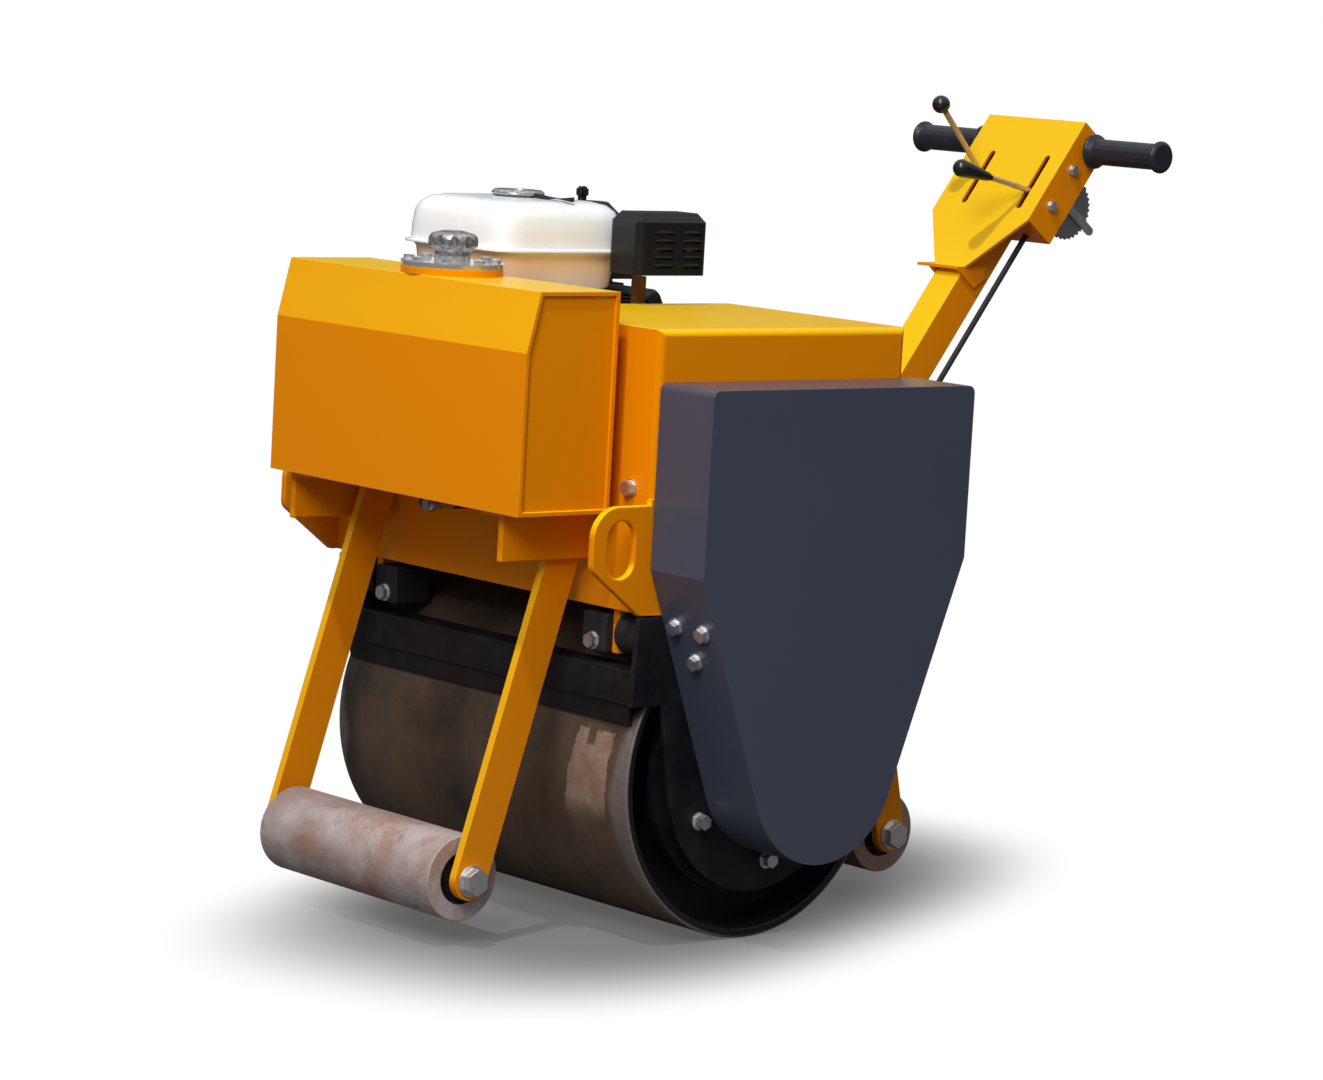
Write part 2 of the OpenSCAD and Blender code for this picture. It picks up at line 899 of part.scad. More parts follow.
module filler_flange() {
  color("silver")
    translate([0, -filler_y, tank_top_z + riser_h]) {
      difference() {
        union() {
          cylinder(h = flange_t, d = filler_flange_d);
          cylinder(h = flange_t + neck_h, d = filler_neck_d);
        }
        translate([0, 0, -cut])
          cylinder(h = flange_t + neck_h + 2 * cut, d = filler_neck_d - neck_h);
      }
      for (i = [0:flange_bolt_n - 1])
        rotate(i * 360 / flange_bolt_n)
          translate([filler_flange_d / 2 - riser_h, 0, flange_t - play])
            cylinder(h = flange_t, d = flange_bolt_d * nut_share, $fn = 6);
    }
}

// Fluted filler cap: a crowned disc with finger notches round its rim
cap_h = 31;
flutes = 10;

module filler_cap() {
  z = tank_top_z + riser_h + flange_t + neck_h;
  color("gray")
    translate([0, -filler_y, z])
      difference() {
        rotate_extrude()
          polygon(concat(
            [[0, play], [filler_neck_d / 2, play], [filler_neck_d / 2, cap_h * 0.16],
             [filler_cap_d * 0.44, cap_h * 0.3], [filler_cap_d / 2, cap_h * 0.42]],
            arc([filler_cap_d / 2 - cap_h * 0.3, cap_h * 0.62], cap_h * 0.3, 0, 90, 6),
            [[filler_cap_d * 0.2, cap_h], [0, cap_h]]));
        for (i = [0:flutes - 1])
          rotate(i * 360 / flutes)
            translate([filler_cap_d / 2 + cap_h * 0.12, 0, -cut])
              cylinder(h = cap_h + 2 * cut, r = cap_h * 0.2);
      }
}

// Ball valve under the tank, with its outlet to the rear
module water_valve() {
  color("peru")
    translate([0, -outlet_y, 0]) {
      translate([0, 0, hose_z])
        cylinder(h = tank_z - hose_z, d = hose_d);
      translate([0, -valve_d / 2, hose_z])
        rotate([-90, 0, 0])
          cylinder(h = valve_l, d = valve_d * 0.7);
      translate([0, 0, hose_z])
        sphere(d = valve_d);
      translate([-valve_d * 0.7, 0, hose_z])
        bar_x(0, valve_d * 0.5, hose_d / 2);
    }
}

lever_t = 4;
valve_lever_l = 46;

module valve_lever() {
  x = -valve_d * 0.7;
  color("firebrick")
    translate([x - lever_t - play, -outlet_y, hose_z]) {
      bar_x(0, lever_t, valve_d * 0.7);
      block([0, 0, -hose_d / 4], [lever_t, valve_lever_l, hose_d / 4]);
    }
}

pipe_y = 183;
pipe_z = 438;
pipe_d = 18;

// Hose from the valve back through the apron and down to the spray pipe
module water_hose() {
  y0 = -outlet_y + valve_l - valve_d / 2;
  r = hose_d * 1.25;
  color("black") {
    translate([0, y0, hose_z])
      rotate([-90, 0, 0])
        cylinder(h = -pipe_y - r - y0, d = hose_d);
    translate([0, -pipe_y - r, hose_z - r])
      rotate([0, 90, 0])
        rotate([0, 0, 180])
          rotate_extrude(angle = -90)
            translate([r, 0])
              circle(d = hose_d);
    translate([0, -pipe_y, pipe_z + pipe_d / 2])
      cylinder(h = hose_z - r - pipe_z - pipe_d / 2, d = hose_d);
  }
}

pipe_l = 456;
clip_x = 180;
clip_w = 16;

module spray_pipe() {
  apron_in_y = front_y - deck_t;
  color("silver")
    translate([0, -pipe_y, pipe_z]) {
      difference() {
        bar_x(-pipe_l / 2, pipe_l / 2, pipe_d);
        bar_x(-pipe_l / 2 + pipe_d / 4, pipe_l / 2 - pipe_d / 4, pipe_d * 0.7);
        for (i = [0:spray_n - 1])
          translate([(i - (spray_n - 1) / 2) * pipe_l / (spray_n + 1), 0, -pipe_d])
            cylinder(h = pipe_d, d = pipe_d / 6);
      }
      for (s = [-1, 1])
        translate([s * clip_x, 0, 0])
          block([-clip_w / 2, -apron_in_y + pipe_y, pipe_d * 0.3],
             [clip_w / 2, 0, pipe_d * 0.6]);
    }
}
spray_n = 9;

/* Hood over the belt drive */
shaft_hole_d = 64;

module hood_shell(inset, low) {
  x0 = -hood_in_x + inset;
  x1 = frame_x - inset;
  y0 = -front_y + inset;
  y1 = rear_y - inset;
  r = hood_r - inset;
  top = deck_z + hood_h - inset;
  intersection() {
    translate([(x0 + x1) / 2, (y0 + y1) / 2, low])
      linear_extrude(top - low)
        round_rect(x1 - x0, y1 - y0, r);
    translate([0, y1, 0])
      rotate([90, 0, 0])
        linear_extrude(y1 - y0)
          translate([(x0 + x1) / 2, (top + low - 2 * r) / 2])
            round_rect(x1 - x0, top - low + 2 * r, r);
  }
}

module hood() {
  color("gold")
    difference() {
      hood_shell(0, deck_z);
      hood_shell(hood_wall, deck_z - cut);
      translate([0, 0, crank_z])
        bar_x(-hood_in_x - cut, -hood_in_x + hood_wall + cut, shaft_hole_d);
      translate([0, -line_y, line_z])
        bar_x(frame_x - hood_wall - cut, frame_x + cut, shaft_hole_d);
      translate([0, out_y, out_z])
        bar_x(frame_x - hood_wall - cut, frame_x + cut, shaft_hole_d);
      translate([cable_x, rear_y - hood_wall - cut, cable_in_z])
        rotate([-90, 0, 0])
          cylinder(h = hood_wall + 2 * cut, d = cable_d + 2 * play);
    }
}

/* Side cover: a deep tapered pan over the chain and the vibration belt */
module cover_outline(inset) {
  foot = [cover_foot_y, cover_foot_z];
  r = cover_foot_r - inset;
  front = [-cover_front_y + inset, cover_fold_z + inset / 4];
  back = [cover_rear_y - inset, cover_rear_fold_z + inset / 4];
  corner = cover_corner_r - inset;
  polygon(concat(
    arc([front[0] + corner, cover_top_z - inset - corner], corner, 90, 180, 6),
    [front],
    arc(foot, r,
      tangent_angle(front, foot, r, 1),
      360 + tangent_angle(back, foot, r, -1), 32),
    [back],
    arc([back[0] - corner, cover_top_z - inset - corner], corner, 0, 90, 6)));
}
cover_corner_r = 10;

// Lugs inside the cover rest on the side plate, where the cover is bolted on
lug_w = 30;
lug_h = 40;
lug_t = 14;
lug_z = 506;

module side_cover() {
  color("darkslateblue") {
    difference() {
      plate_x(cover_in_x, cover_t)
        cover_outline(0);
      plate_x(cover_in_x - cut, cover_t - cover_wall + cut)
        cover_outline(cover_wall);
    }
    block([frame_x, -cover_front_y + cover_wall / 2, lug_z],
       [cover_in_x + lug_t, -cover_front_y + lug_w, lug_z + lug_h]);
    block([frame_x, rear_y - lug_w, lug_z],
       [cover_in_x + lug_t, cover_rear_y - cover_wall / 2, lug_z + lug_h]);
  }
}

/* Gearbox on the deck, driven by a belt, with its chain wheel inside the side cover */
box_x0 = 130;
box_gap = 25;
box_x1 = frame_x - box_gap;
box_y0 = 40;
box_y1 = 192;
box_top_z = 704;
box_r = 14;
boss_d = 64;
boss_l = 10;

module gearbox() {
  color("slategray")
    difference() {
      union() {
        plate_x(box_x0, box_x1 - box_x0)
          translate([(box_y0 + box_y1) / 2, (deck_z + box_top_z) / 2])
            round_rect(box_y1 - box_y0, box_top_z - deck_z, box_r);
        block([box_x0 + boss_l, box_y0 - boss_l, deck_z],
           [box_x1 - boss_l, box_y1 + boss_l, deck_z + boss_l]);
        translate([0, out_y, out_z])
          bar_x(box_x1, box_x1 + boss_l, boss_d);
        translate([0, box_in_y, box_in_z])
          bar_x(box_x0 - boss_l, box_x0, boss_d);
        translate([shift_x, shift_y, box_top_z - cut])
          cylinder(h = boss_l + cut, d = boss_d / 2);
      }
      translate([0, out_y, out_z])
        bar_x(box_x1 - boss_d, box_x1 + boss_l + cut, shaft_d + 2 * fit);
      translate([0, box_in_y, box_in_z])
        bar_x(box_x0 - boss_l - cut, box_x0 + boss_d, shaft_d + 2 * fit);
      translate([shift_x, shift_y, box_top_z - boss_l])
        cylinder(h = 2 * boss_l + cut, d = shift_d + 2 * fit);
    }
}
shift_x = 180;
shift_y = 150;
shift_d = 12;
shift_l = 60;

module gearbox_input() {
  color("gray")
    translate([0, box_in_y, box_in_z]) {
      bar_x(box_belt_x - belt_w, box_x0 + boss_d - play, shaft_d);
      v_pulley(box_belt_x, box_pulley_d, shaft_d);
    }
}

module gearbox_output() {
  teeth = round(drum_teeth * out_sprocket_d / drum_sprocket_d);
  color("dimgray")
    translate([0, out_y, out_z]) {
      bar_x(box_x1 - boss_d + play, chain_x + sprocket_t, shaft_d);
      plate_x(chain_x - sprocket_t / 2, sprocket_t)
        sprocket_shape(out_sprocket_d, teeth, shaft_d);
    }
}

// Shift lever on top of the gearbox, pulled by the travel cable
module shift_lever() {
  color("silver")
    translate([shift_x, shift_y, box_top_z]) {
      translate([0, 0, -boss_l + play])
        cylinder(h = 2 * boss_l + lever_t, d = shift_d);
      translate([0, 0, boss_l + play])
        linear_extrude(lever_t)
          translate([-shift_l / 2 + shift_d / 2, 0])
            slot_shape(shift_l, shift_d * 1.6);
    }
}

// Roller chain from the gearbox to the drum
module drive_chain() {
  clear = chain_h * tooth_share + play;
  color("dimgray")
    loop_x(chain_x, chain_w, [out_y, out_z], out_sprocket_d / 2 + clear,
        [0, drum_r], drum_sprocket_d / 2 + clear, chain_h * 0.7);
}

// Belts from the crankshaft to the gearbox and to the line shaft
module drive_belts() {
  color("black") {
    loop_x(box_belt_x, belt_w * 0.8, [0, crank_z], crank_pulley_d / 2,
        [box_in_y, box_in_z], box_pulley_d / 2, belt_t);
    loop_x(line_belt_x, belt_w * 0.8, [0, crank_z], crank_pulley_d / 2,
        [-line_y, line_z], crank_pulley_d / 2, belt_t);
  }
}

// Belt from the line shaft down to the exciter
module vibration_belt() {
  color("black")
    loop_x(vib_x, belt_w * 0.8, [-line_y, line_z], vib_pulley_d / 2,
        [0, drum_r], exciter_pulley_d / 2, belt_t);
}

// Idler arm beside the vibration belt: it presses the slack run to engage the exciter
idler_y = 70;
idler_z = 560;
idler_d = 44;
idler_l = 96;
idler_pin_d = 16;

module idler_arm() {
  color("gray")
    translate([0, idler_y, idler_z]) {
      bar_x(plate_out_pin_x, vib_x + belt_w, idler_pin_d);
      plate_x(vib_x - belt_w - lever_t, lever_t)
        translate([0, -idler_l / 2])
          rotate(90)
            slot_shape(idler_l + idler_pin_d * 1.6, idler_pin_d * 1.6);
      translate([0, 0, -idler_l])
        bar_x(vib_x - belt_w, vib_x + belt_w * 0.6, idler_d);
    }
}
plate_out_pin_x = frame_x;

// Line shaft: carries power across the hood and out to the vibration belt
module line_shaft() {
  color("silver")
    translate([0, -line_y, line_z]) {
      bar_x(line_belt_x - belt_w, vib_x + belt_w, shaft_d);
      v_pulley(line_belt_x, crank_pulley_d, shaft_d);
      v_pulley(vib_x, vib_pulley_d, shaft_d);
    }
}

/* Engine */
// Crankshaft with its flywheel, and the clutch drum and two pulleys at the drive end
module crankshaft() {
  x0 = -crank_face_x - crankcase_w;
  color("silver")
    translate([0, 0, crank_z]) {
      bar_x(x0 - flywheel_t - play, box_belt_x + belt_w, shaft_d);
      bar_x(clutch_x - clutch_l, clutch_x, clutch_d);
      v_pulley(line_belt_x, crank_pulley_d, shaft_d);
      v_pulley(box_belt_x, crank_pulley_d, shaft_d);
      bar_x(x0 - flywheel_t - play, x0 - play, flywheel_d);
    }
}
clutch_x = 26;
clutch_l = 44;
clutch_d = 104;
flywheel_t = 26;
flywheel_d = 150;

fins = 7;
fin_t = 3;
fin_pitch = 9;
fin_w = 118;
fin_h = 104;
bore_tilt = 25;
cylinder_d = 84;
head_t = 22;

module engine_block() {
  x1 = -crank_face_x;
  x0 = x1 - crankcase_w;
  mid_x = (x0 + x1) / 2;
  foot_t = 12;
  color("silver")
    difference() {
      union() {
        block([x0 + foot_t, -crankcase_d / 2 - foot_t, deck_z],
           [x1 - foot_t, crankcase_d / 2 + foot_t, deck_z + foot_t]);
        plate_x(x0, crankcase_w)
          translate([-foot_t, crank_z])
            round_rect(crankcase_d, crank_h * 1.9, crank_h * 0.4);
        translate([0, 0, crank_z])
          bar_x(x1, x1 + foot_t, crankcase_d * 0.66);
        translate([mid_x, 0, crank_z])
          rotate([bore_tilt - 90, 0, 0]) {
            cylinder(h = crankcase_d / 2 + fins * fin_pitch + head_t, d = cylinder_d);
            for (i = [0:fins - 1])
              translate([0, 0, crankcase_d / 2 + i * fin_pitch])
                linear_extrude(fin_t)
                  round_rect(fin_w, fin_h, fin_t * 4);
            translate([0, 0, crankcase_d / 2 + fins * fin_pitch])
              linear_extrude(head_t)
                round_rect(fin_w, fin_h, fin_t * 4);
          }
        block([mid_x - fin_w / 2, -crankcase_d / 2, crank_z + crank_h * 0.8],
           [mid_x + fin_w / 2, 0, fuel_foot_z]);
      }
      translate([0, 0, crank_z])
        bar_x(x0 - cut, x1 + foot_t + cut, shaft_d + 2 * fit);
    }
}
fuel_foot_z = 792;

// Fan housing with the recoil starter's round cover and air slots
starter_d = 188;
starter_l = 70;
starter_wall = 4;

module recoil_starter() {
  x1 = -crank_face_x - crankcase_w;
  color("firebrick")
    translate([0, 0, crank_z])
      difference() {
        union() {
          bar_x(x1 - starter_l * 0.6, x1, starter_d);
          bar_x(x1 - starter_l, x1 - starter_l * 0.6, starter_d * 0.8);
        }
        bar_x(x1 - starter_l * 0.6 + starter_wall, x1 + cut, starter_d - 2 * starter_wall);
        for (i = [0:11])
          rotate([i * 30, 0, 0])
            translate([x1 - starter_l - cut, 0, starter_d * 0.26])
              rotate([0, 90, 0])
                linear_extrude(starter_l * 0.4 + cut)
                  slot_shape(starter_d * 0.14, starter_wall * 1.5);
      }
}

module starter_grip() {
  x1 = -crank_face_x - crankcase_w - starter_l * 0.3;
  z = crank_z + starter_d * 0.3;
  color("black")
    translate([x1, -starter_d * 0.43 , z])
      rotate([90, 0, 0]) {
        cylinder(h = starter_l * 0.16, d = starter_wall * 3);
        translate([0, 0, starter_l * 0.16])
          linear_extrude(starter_wall * 4)
            slot_shape(starter_l * 0.6, starter_wall * 4);
      }
}

// Fuel tank: two pressed halves with a seam flange, crowned on top
tank_ring = 36;

// One level ring of the tank, a rounded rectangle of half sizes a and b
function tank_ring_points(a, b, z) =
  [for (i = [0:tank_ring - 1])
    let (t = i * 360 / tank_ring, c = cos(t), s = sin(t))
      [a * sign(c) * pow(abs(c), squareness), b * sign(s) * pow(abs(s), squareness), z]];
squareness = 0.28;

// Half-size shares and height shares of the rings, from the foot to the crown
fuel_low_shares = [[0.80, 0], [0.86, 0.12], [0.90, 0.9], [0.93, 1]];
fuel_top_shares = [[0.95, 0], [0.945, 0.3], [0.925, 0.6], [0.88, 0.78], [0.80, 0.9], [0.66, 0.96],
          [0.4, 0.99], [0.1, 1]];

module ring_stack(rings) {
  n = len(rings);
  points = concat(
    [for (r = rings, p = r) p],
    [[0, 0, rings[0][0][2]], [0, 0, rings[n - 1][0][2]]]);
  faces = concat(
    [for (k = [0:n - 2], i = [0:tank_ring - 1]) let (j = (i + 1) % tank_ring)
      [k * tank_ring + i, (k + 1) * tank_ring + i, (k + 1) * tank_ring + j]],
    [for (k = [0:n - 2], i = [0:tank_ring - 1]) let (j = (i + 1) % tank_ring)
      [k * tank_ring + i, (k + 1) * tank_ring + j, k * tank_ring + j]],
    [for (i = [0:tank_ring - 1]) [n * tank_ring, i, (i + 1) % tank_ring]],
    [for (i = [0:tank_ring - 1])
      [n * tank_ring + 1, (n - 1) * tank_ring + (i + 1) % tank_ring, (n - 1) * tank_ring + i]]);
  polyhedron(points, faces);
}

module fuel_tank() {
  low_h = seam_z - fuel_foot_z;
  color("white")
    translate([-fuel_x - fuel_w / 2, -fuel_y + fuel_d / 2, fuel_foot_z]) {
      ring_stack(concat(
        [for (s = fuel_low_shares)
          tank_ring_points(fuel_w / 2 * s[0], fuel_d / 2 * s[0], low_h * s[1])],
        [tank_ring_points(fuel_w / 2, fuel_d / 2, low_h + play),
         tank_ring_points(fuel_w / 2, fuel_d / 2, low_h + seam_t)],
        [for (s = fuel_top_shares)
          tank_ring_points(fuel_w / 2 * s[0], fuel_d / 2 * s[0],
                   low_h + seam_t + play + fuel_top_h * s[1])]));
    }
}
seam_t = 4;

fuel_cap_h = 8;
fuel_cap_y = 41;
fuel_cap_x = 188;

module fuel_cap() {
  color("gray")
    translate([-fuel_cap_x, -fuel_cap_y, seam_z + seam_t + fuel_top_h + 2 * play])
      rotate_extrude()
        polygon([
          [0, 0], [fuel_cap_d / 2 - lever_t, 0], [fuel_cap_d / 2, lever_t / 2],
          [fuel_cap_d / 2, fuel_cap_h - lever_t], [fuel_cap_d / 2 - lever_t, fuel_cap_h],
          [fuel_cap_d / 4, fuel_cap_h], [fuel_cap_d / 4, fuel_cap_h - lever_t / 2],
          [0, fuel_cap_h - lever_t / 2]]);
}

// Muffler box inside its louvred guard
guard_y = 26;
guard_z = 820;
guard_crown = 12;
guard_t = 3;
guard_gap = 6;
guard_r = 12;

module muffler() {
  x1 = -guard_x - guard_t;
  x0 = -guard_x - guard_w + guard_t + guard_gap;
  y0 = guard_y + guard_t + guard_gap;
  y1 = guard_y + guard_l - guard_t - guard_gap;
  z0 = guard_z + guard_gap;
  z1 = guard_z + guard_h - guard_t - guard_gap;
  color("dimgray") {
    plate_x(x0, x1 - x0 - guard_gap)
      translate([(y0 + y1) / 2, (z0 + z1) / 2])
        round_rect(y1 - y0, z1 - z0, guard_r);
    for (s = [-1, 1])
      translate([0, (y0 + y1) / 2 + s * guard_l / 4, (z0 + z1) / 2])
        bar_x(x1 - guard_gap, x1, guard_r);
    translate([0, (y0 + y1) / 2, 0]) {
      block([fin_side_x, -stay_w / 2, stay_foot_z],
         [fin_side_x + stay_w, stay_w / 2, guard_z - guard_gap]);
      block([x0, -stay_w / 2, stay_foot_z], [fin_side_x + stay_w, stay_w / 2, z0 + guard_gap]);
    }
  }
}
stay_foot_z = 740;
stay_w = 14;
fin_side_x = -crank_face_x - crankcase_w / 2 + fin_w / 2;

// The guard's outside, or its hollow when drawn in by the wall: straight sides and a crowned top
module guard_body(inset, low) {
  x0 = -guard_x - guard_w + inset;
  y0 = guard_y + inset;
  top = guard_z + guard_h - inset;
  hull() {
    translate([0, 0, low])
      linear_extrude(top - low)
        guard_plan(x0, y0, inset);
    translate([0, 0, top])
      linear_extrude(guard_crown)
        offset(delta = -guard_crown)
          guard_plan(x0, y0, inset);
  }
}

module guard_plan(x0, y0, inset) {
  r = guard_r - inset;
  hull()
    for (x = [x0 + r, x0 + guard_w - 2 * inset - r], y = [y0 + r, y0 + guard_l - 2 * inset - r])
      translate([x, y])
        circle(r);
}

module muffler_guard() {
  x1 = -guard_x;
  x0 = -guard_x - guard_w;
  slot_len = guard_l * 0.27;
  color("black")
    difference() {
      guard_body(0, guard_z);
      guard_body(guard_t, guard_z + guard_t);
      for (c = [0:louvre_cols - 1], r = [0:louvre_rows - 1])
        translate([0, guard_y + guard_l * (0.36 + 0.40 * c), guard_z + guard_h * (0.16 + 0.155 * r)])
          plate_x(x1 - guard_t - cut, guard_t + 2 * cut)
            slot_shape(slot_len, guard_t);
      // Way through for the muffler's stay
      block([x0 - cut, guard_y + guard_l / 2 - stay_w / 2 - play, guard_z - cut],
            [fin_side_x + stay_w + play, guard_y + guard_l / 2 + stay_w / 2 + play,
             guard_z + guard_t + cut]);
      for (i = [0:6])
        translate([x0 + guard_w / 2, guard_y + guard_l * (0.23 + 0.09 * i),
              guard_z + guard_h - guard_t])
          linear_extrude(guard_crown + guard_t + cut)
            slot_shape(guard_w * 0.4, guard_t);
    }
}

// Air cleaner above the cylinder, behind the fuel tank
cleaner_w = 116;
cleaner_l = 108;
cleaner_h = 82;
cleaner_z = 800;
cleaner_gap = 8;
cleaner_dome_h = 20;
cleaner_y = -fuel_y + fuel_d + cleaner_gap;
cleaner_out = 79;
cleaner_x = -crank_face_x - crankcase_w - cleaner_out;

module air_cleaner() {
  low = cleaner_h * 0.45;
  color("black")
    translate([cleaner_x + cleaner_w / 2, cleaner_y + cleaner_l / 2, cleaner_z]) {
      linear_extrude(low)
        round_rect(cleaner_w, cleaner_l, guard_r);
      translate([0, 0, low])
        linear_extrude(cleaner_h - low)
          round_rect(cleaner_w - guard_gap, cleaner_l - guard_gap, guard_r * 2);
      translate([0, 0, cleaner_h]) {
        cylinder(h = cleaner_dome_h, d1 = cleaner_l * 0.8, d2 = cleaner_l * 0.4);
        translate([-cleaner_dome_h / 2, -cleaner_dome_h / 2, 0])
          cylinder(h = cleaner_dome_h + guard_r * 1.6, d = guard_r);
      }
    }
}

// Carburettor between the cylinder's side and the air cleaner, with its float bowl
carb_w = 44;
carb_l = 48;
carb_h = 34;
bowl_d = 40;
bowl_h = 20;

module carburettor() {
  x1 = -crank_face_x - crankcase_w / 2 - fin_w / 2;
  color("silver")
    translate([x1 - carb_w / 2, cleaner_y + cleaner_l * 0.5, cleaner_z]) {
      block([-carb_w / 2, -carb_l / 2, -carb_h], [carb_w / 2, carb_l / 2, -guard_gap]);
      translate([0, 0, -guard_gap])
        cylinder(h = guard_gap, d = carb_l * 0.7);
      translate([0, 0, -carb_h - bowl_h])
        cylinder(h = bowl_h, d = bowl_d);
    }
}

/* Handle: leaning column, console with levers, and handlebar */
// Local frame of the handle: x across, y is depth behind the console plate, -z is down along it
module at_console() {
  translate([0, console_y, console_z])
    rotate([-lean, 0, 0])
      children();
}

foot_w = 66;
foot_y = console_y - (console_z - tank_z) * tan(lean)
  + (console_t + column_w / 2) / cos(lean);

module column_bar(low_s, top_s) {
  block([-column_w / 2, console_t, -low_s], [column_w / 2, console_t + column_w, -top_s]);
}

module handle_column() {
  s1 = (console_z - tank_z) / cos(lean) + column_w;
  top_s = console_l;
  color("gold")
    difference() {
      at_console() {
        difference() {
          column_bar(s1, top_s);
          block([-column_w / 2 + column_wall, console_t + column_wall, -s1 - cut],
             [column_w / 2 - column_wall, console_t + column_w - column_wall, -top_s + cut]);
        }
      }
      block([-frame_x, 0, tank_z - console_z], [frame_x, console_y, tank_z]);
    }
}

shelf_t = 4;
shelf_w = 104;
shelf_h = 26;
shelf_front = 12;
shelf_back = 42;
slot_shift = 9;

// Console: bent plate with two slots, side walls, end walls, and the shelf under its tip
module control_head() {
  side_points = [[0, 0], [console_d * 0.58, 0], [console_d, -console_d * 0.4],
          [console_d, -console_l], [0, -console_l]];
  color("gold")
    at_console() {
      difference() {
        translate([0, console_t, 0])
          rotate([90, 0, 0])
            linear_extrude(console_t)
              polygon([
                [-console_w / 2, 0], [console_w / 2, 0],
                [console_w / 2, -console_l],
                [column_w / 2 + side_t / 2, -console_l - console_taper],
                [-column_w / 2 - side_t / 2, -console_l - console_taper],
                [-console_w / 2, -console_l]]);
        for (s = [-1, 1])
          translate([s * slot_x + slot_shift, console_t + cut, -slot_s])
            rotate([90, 90, 0])
              linear_extrude(console_t + 2 * cut)
                slot_shape(slot_l, slot_w);
      }
      for (m = [0, 1])
        mirror([m, 0, 0])
          difference() {
            plate_x(console_w / 2 - console_t, console_t)
              polygon(side_points);
            translate([0, bar_depth, -bar_s])
              bar_x(console_w / 2 - 2 * console_t, console_w / 2 + cut, bar_d);
          }
      block([-console_w / 2 + console_t, console_t, -console_t],
         [console_w / 2 - console_t, console_d * 0.58, 0]);
      difference() {
        block([-console_w / 2 + console_t, console_t, -console_l],
           [console_w / 2 - console_t, console_d, -console_l + console_t]);
        block([-column_w / 2 + column_wall, console_t + column_wall, -console_l - cut],
           [column_w / 2 - column_wall, console_t + column_w - column_wall,
            -console_l + console_t + cut]);
      }
      translate([0, pivot_d, -slot_s])
        bar_x(-console_w / 2 + console_t / 2, console_w / 2 - console_t / 2, pivot_pin_d);
    }
  shelf();
}
bar_s = 24;
bar_depth = 35;
pivot_d = 34;
pivot_pin_d = 12;

// Level shelf below the console's tip, longer on its far side, with two gussets
module shelf() {
  tip = console_l + console_taper;
  y = console_y - tip * sin(lean);
  z = console_z - tip * cos(lean);
  color("gold") {
    difference() {
      block([-shelf_w / 2, y - shelf_front, z - shelf_t],
         [column_w / 2 + shelf_t, y + shelf_back, z]);
      at_console()
        column_bar(tip + shelf_h, console_l);
    }
    for (m = [0, 1])
      mirror([m, 0, 0])
        plate_x(column_w / 2, shelf_t)
          polygon([
            [y - shelf_front, z - shelf_t], [y + shelf_back, z - shelf_t],
            [y + shelf_back, z - shelf_t - shelf_h / 2],
            [y + shelf_back / 2, z - shelf_t - shelf_h]]);
  }
}

module handlebar() {
  color("silver")
    at_console()
      translate([0, bar_depth, -bar_s])
        tube_x(-bar_left, bar_right, bar_d, bar_d - column_wall);
}

// Rubber grip with a flange at each end
module grip() {
  fl = grip_flange_d / 2;
  difference() {
    rotate([0, 90, 0])
      rotate_extrude()
        polygon([
          [0, 0], [fl, 0], [fl, lever_t], [grip_d / 2, lever_t * 2.5],
          [grip_d / 2, grip_l - lever_t * 3], [fl * 0.92, grip_l - lever_t * 2],
          [fl * 0.92, grip_l - lever_t], [grip_d / 2, grip_l], [0, grip_l]]);
    bar_x(-cut, grip_l - lever_t, bar_d);
  }
}

module grips() {
  color("black")
    at_console()
      translate([0, bar_depth, -bar_s]) {
        translate([bar_right + lever_t - grip_l, 0, 0])
          grip();
        translate([-bar_left - lever_t + grip_l, 0, 0])
          mirror([1, 0, 0])
            grip();
      }
}

// A lever rod from its hub on the pivot pin out through the slot; tilt is the angle from square
module lever_rod(tilt, l) {
  translate([0, pivot_d, -slot_s]) {
    tube_x(-slot_w, slot_w, pivot_pin_d * 1.8, pivot_pin_d + 2 * fit);
    rotate([90 + tilt, 0, 0])
      translate([0, 0, pivot_pin_d * 0.8])
        cylinder(h = l - pivot_pin_d * 0.8, d = rod_d);
  }
}

travel_tilt = -10.8;
travel_l = 162;
vib_tilt = 23.5;
vib_l = 112;
vib_bend_l = 64;
vib_lean = 8;
vib_grip_l = 60;

module travel_lever() {
  color("tan")
    at_console()
      translate([slot_shift - slot_x, 0, 0]) {
        lever_rod(travel_tilt, travel_l);
        translate([0, pivot_d, -slot_s])
          rotate([90 + travel_tilt, 0, 0])
            translate([0, 0, travel_l])
              sphere(d = ball_d);
      }
}

// The vibration lever's rod is bent a little towards the middle, past the plate
module vibration_lever() {
  color("tan")
    at_console()
      translate([slot_shift + slot_x, 0, 0]) {
        lever_rod(vib_tilt, vib_bend_l);
        translate([0, pivot_d, -slot_s])
          rotate([90 + vib_tilt, 0, 0])
            translate([0, 0, vib_bend_l]) {
              sphere(d = rod_d * 1.2);
              rotate([0, -vib_lean, 0]) {
                cylinder(h = vib_l - vib_bend_l, d = rod_d);
                translate([0, 0, vib_l - vib_bend_l]) {
                  cylinder(h = vib_grip_l - ball_d / 2, d1 = rod_d * 1.5, d2 = ball_d);
                  translate([0, 0, vib_grip_l - ball_d / 2])
                    sphere(d = ball_d);
                }
              }
            }
      }
}

// Throttle quadrant: grey plate with a toothed arc, behind the console
quadrant_x = 58;
quadrant_s = 92;
quadrant_depth = 80;
quadrant_t = 4;
quadrant_r = 45;
quadrant_teeth = 14;
quadrant_tooth = 4;
tab_w = 24;

module at_quadrant() {
  at_console()
    translate([quadrant_x, quadrant_depth, -quadrant_s])
      children();
}

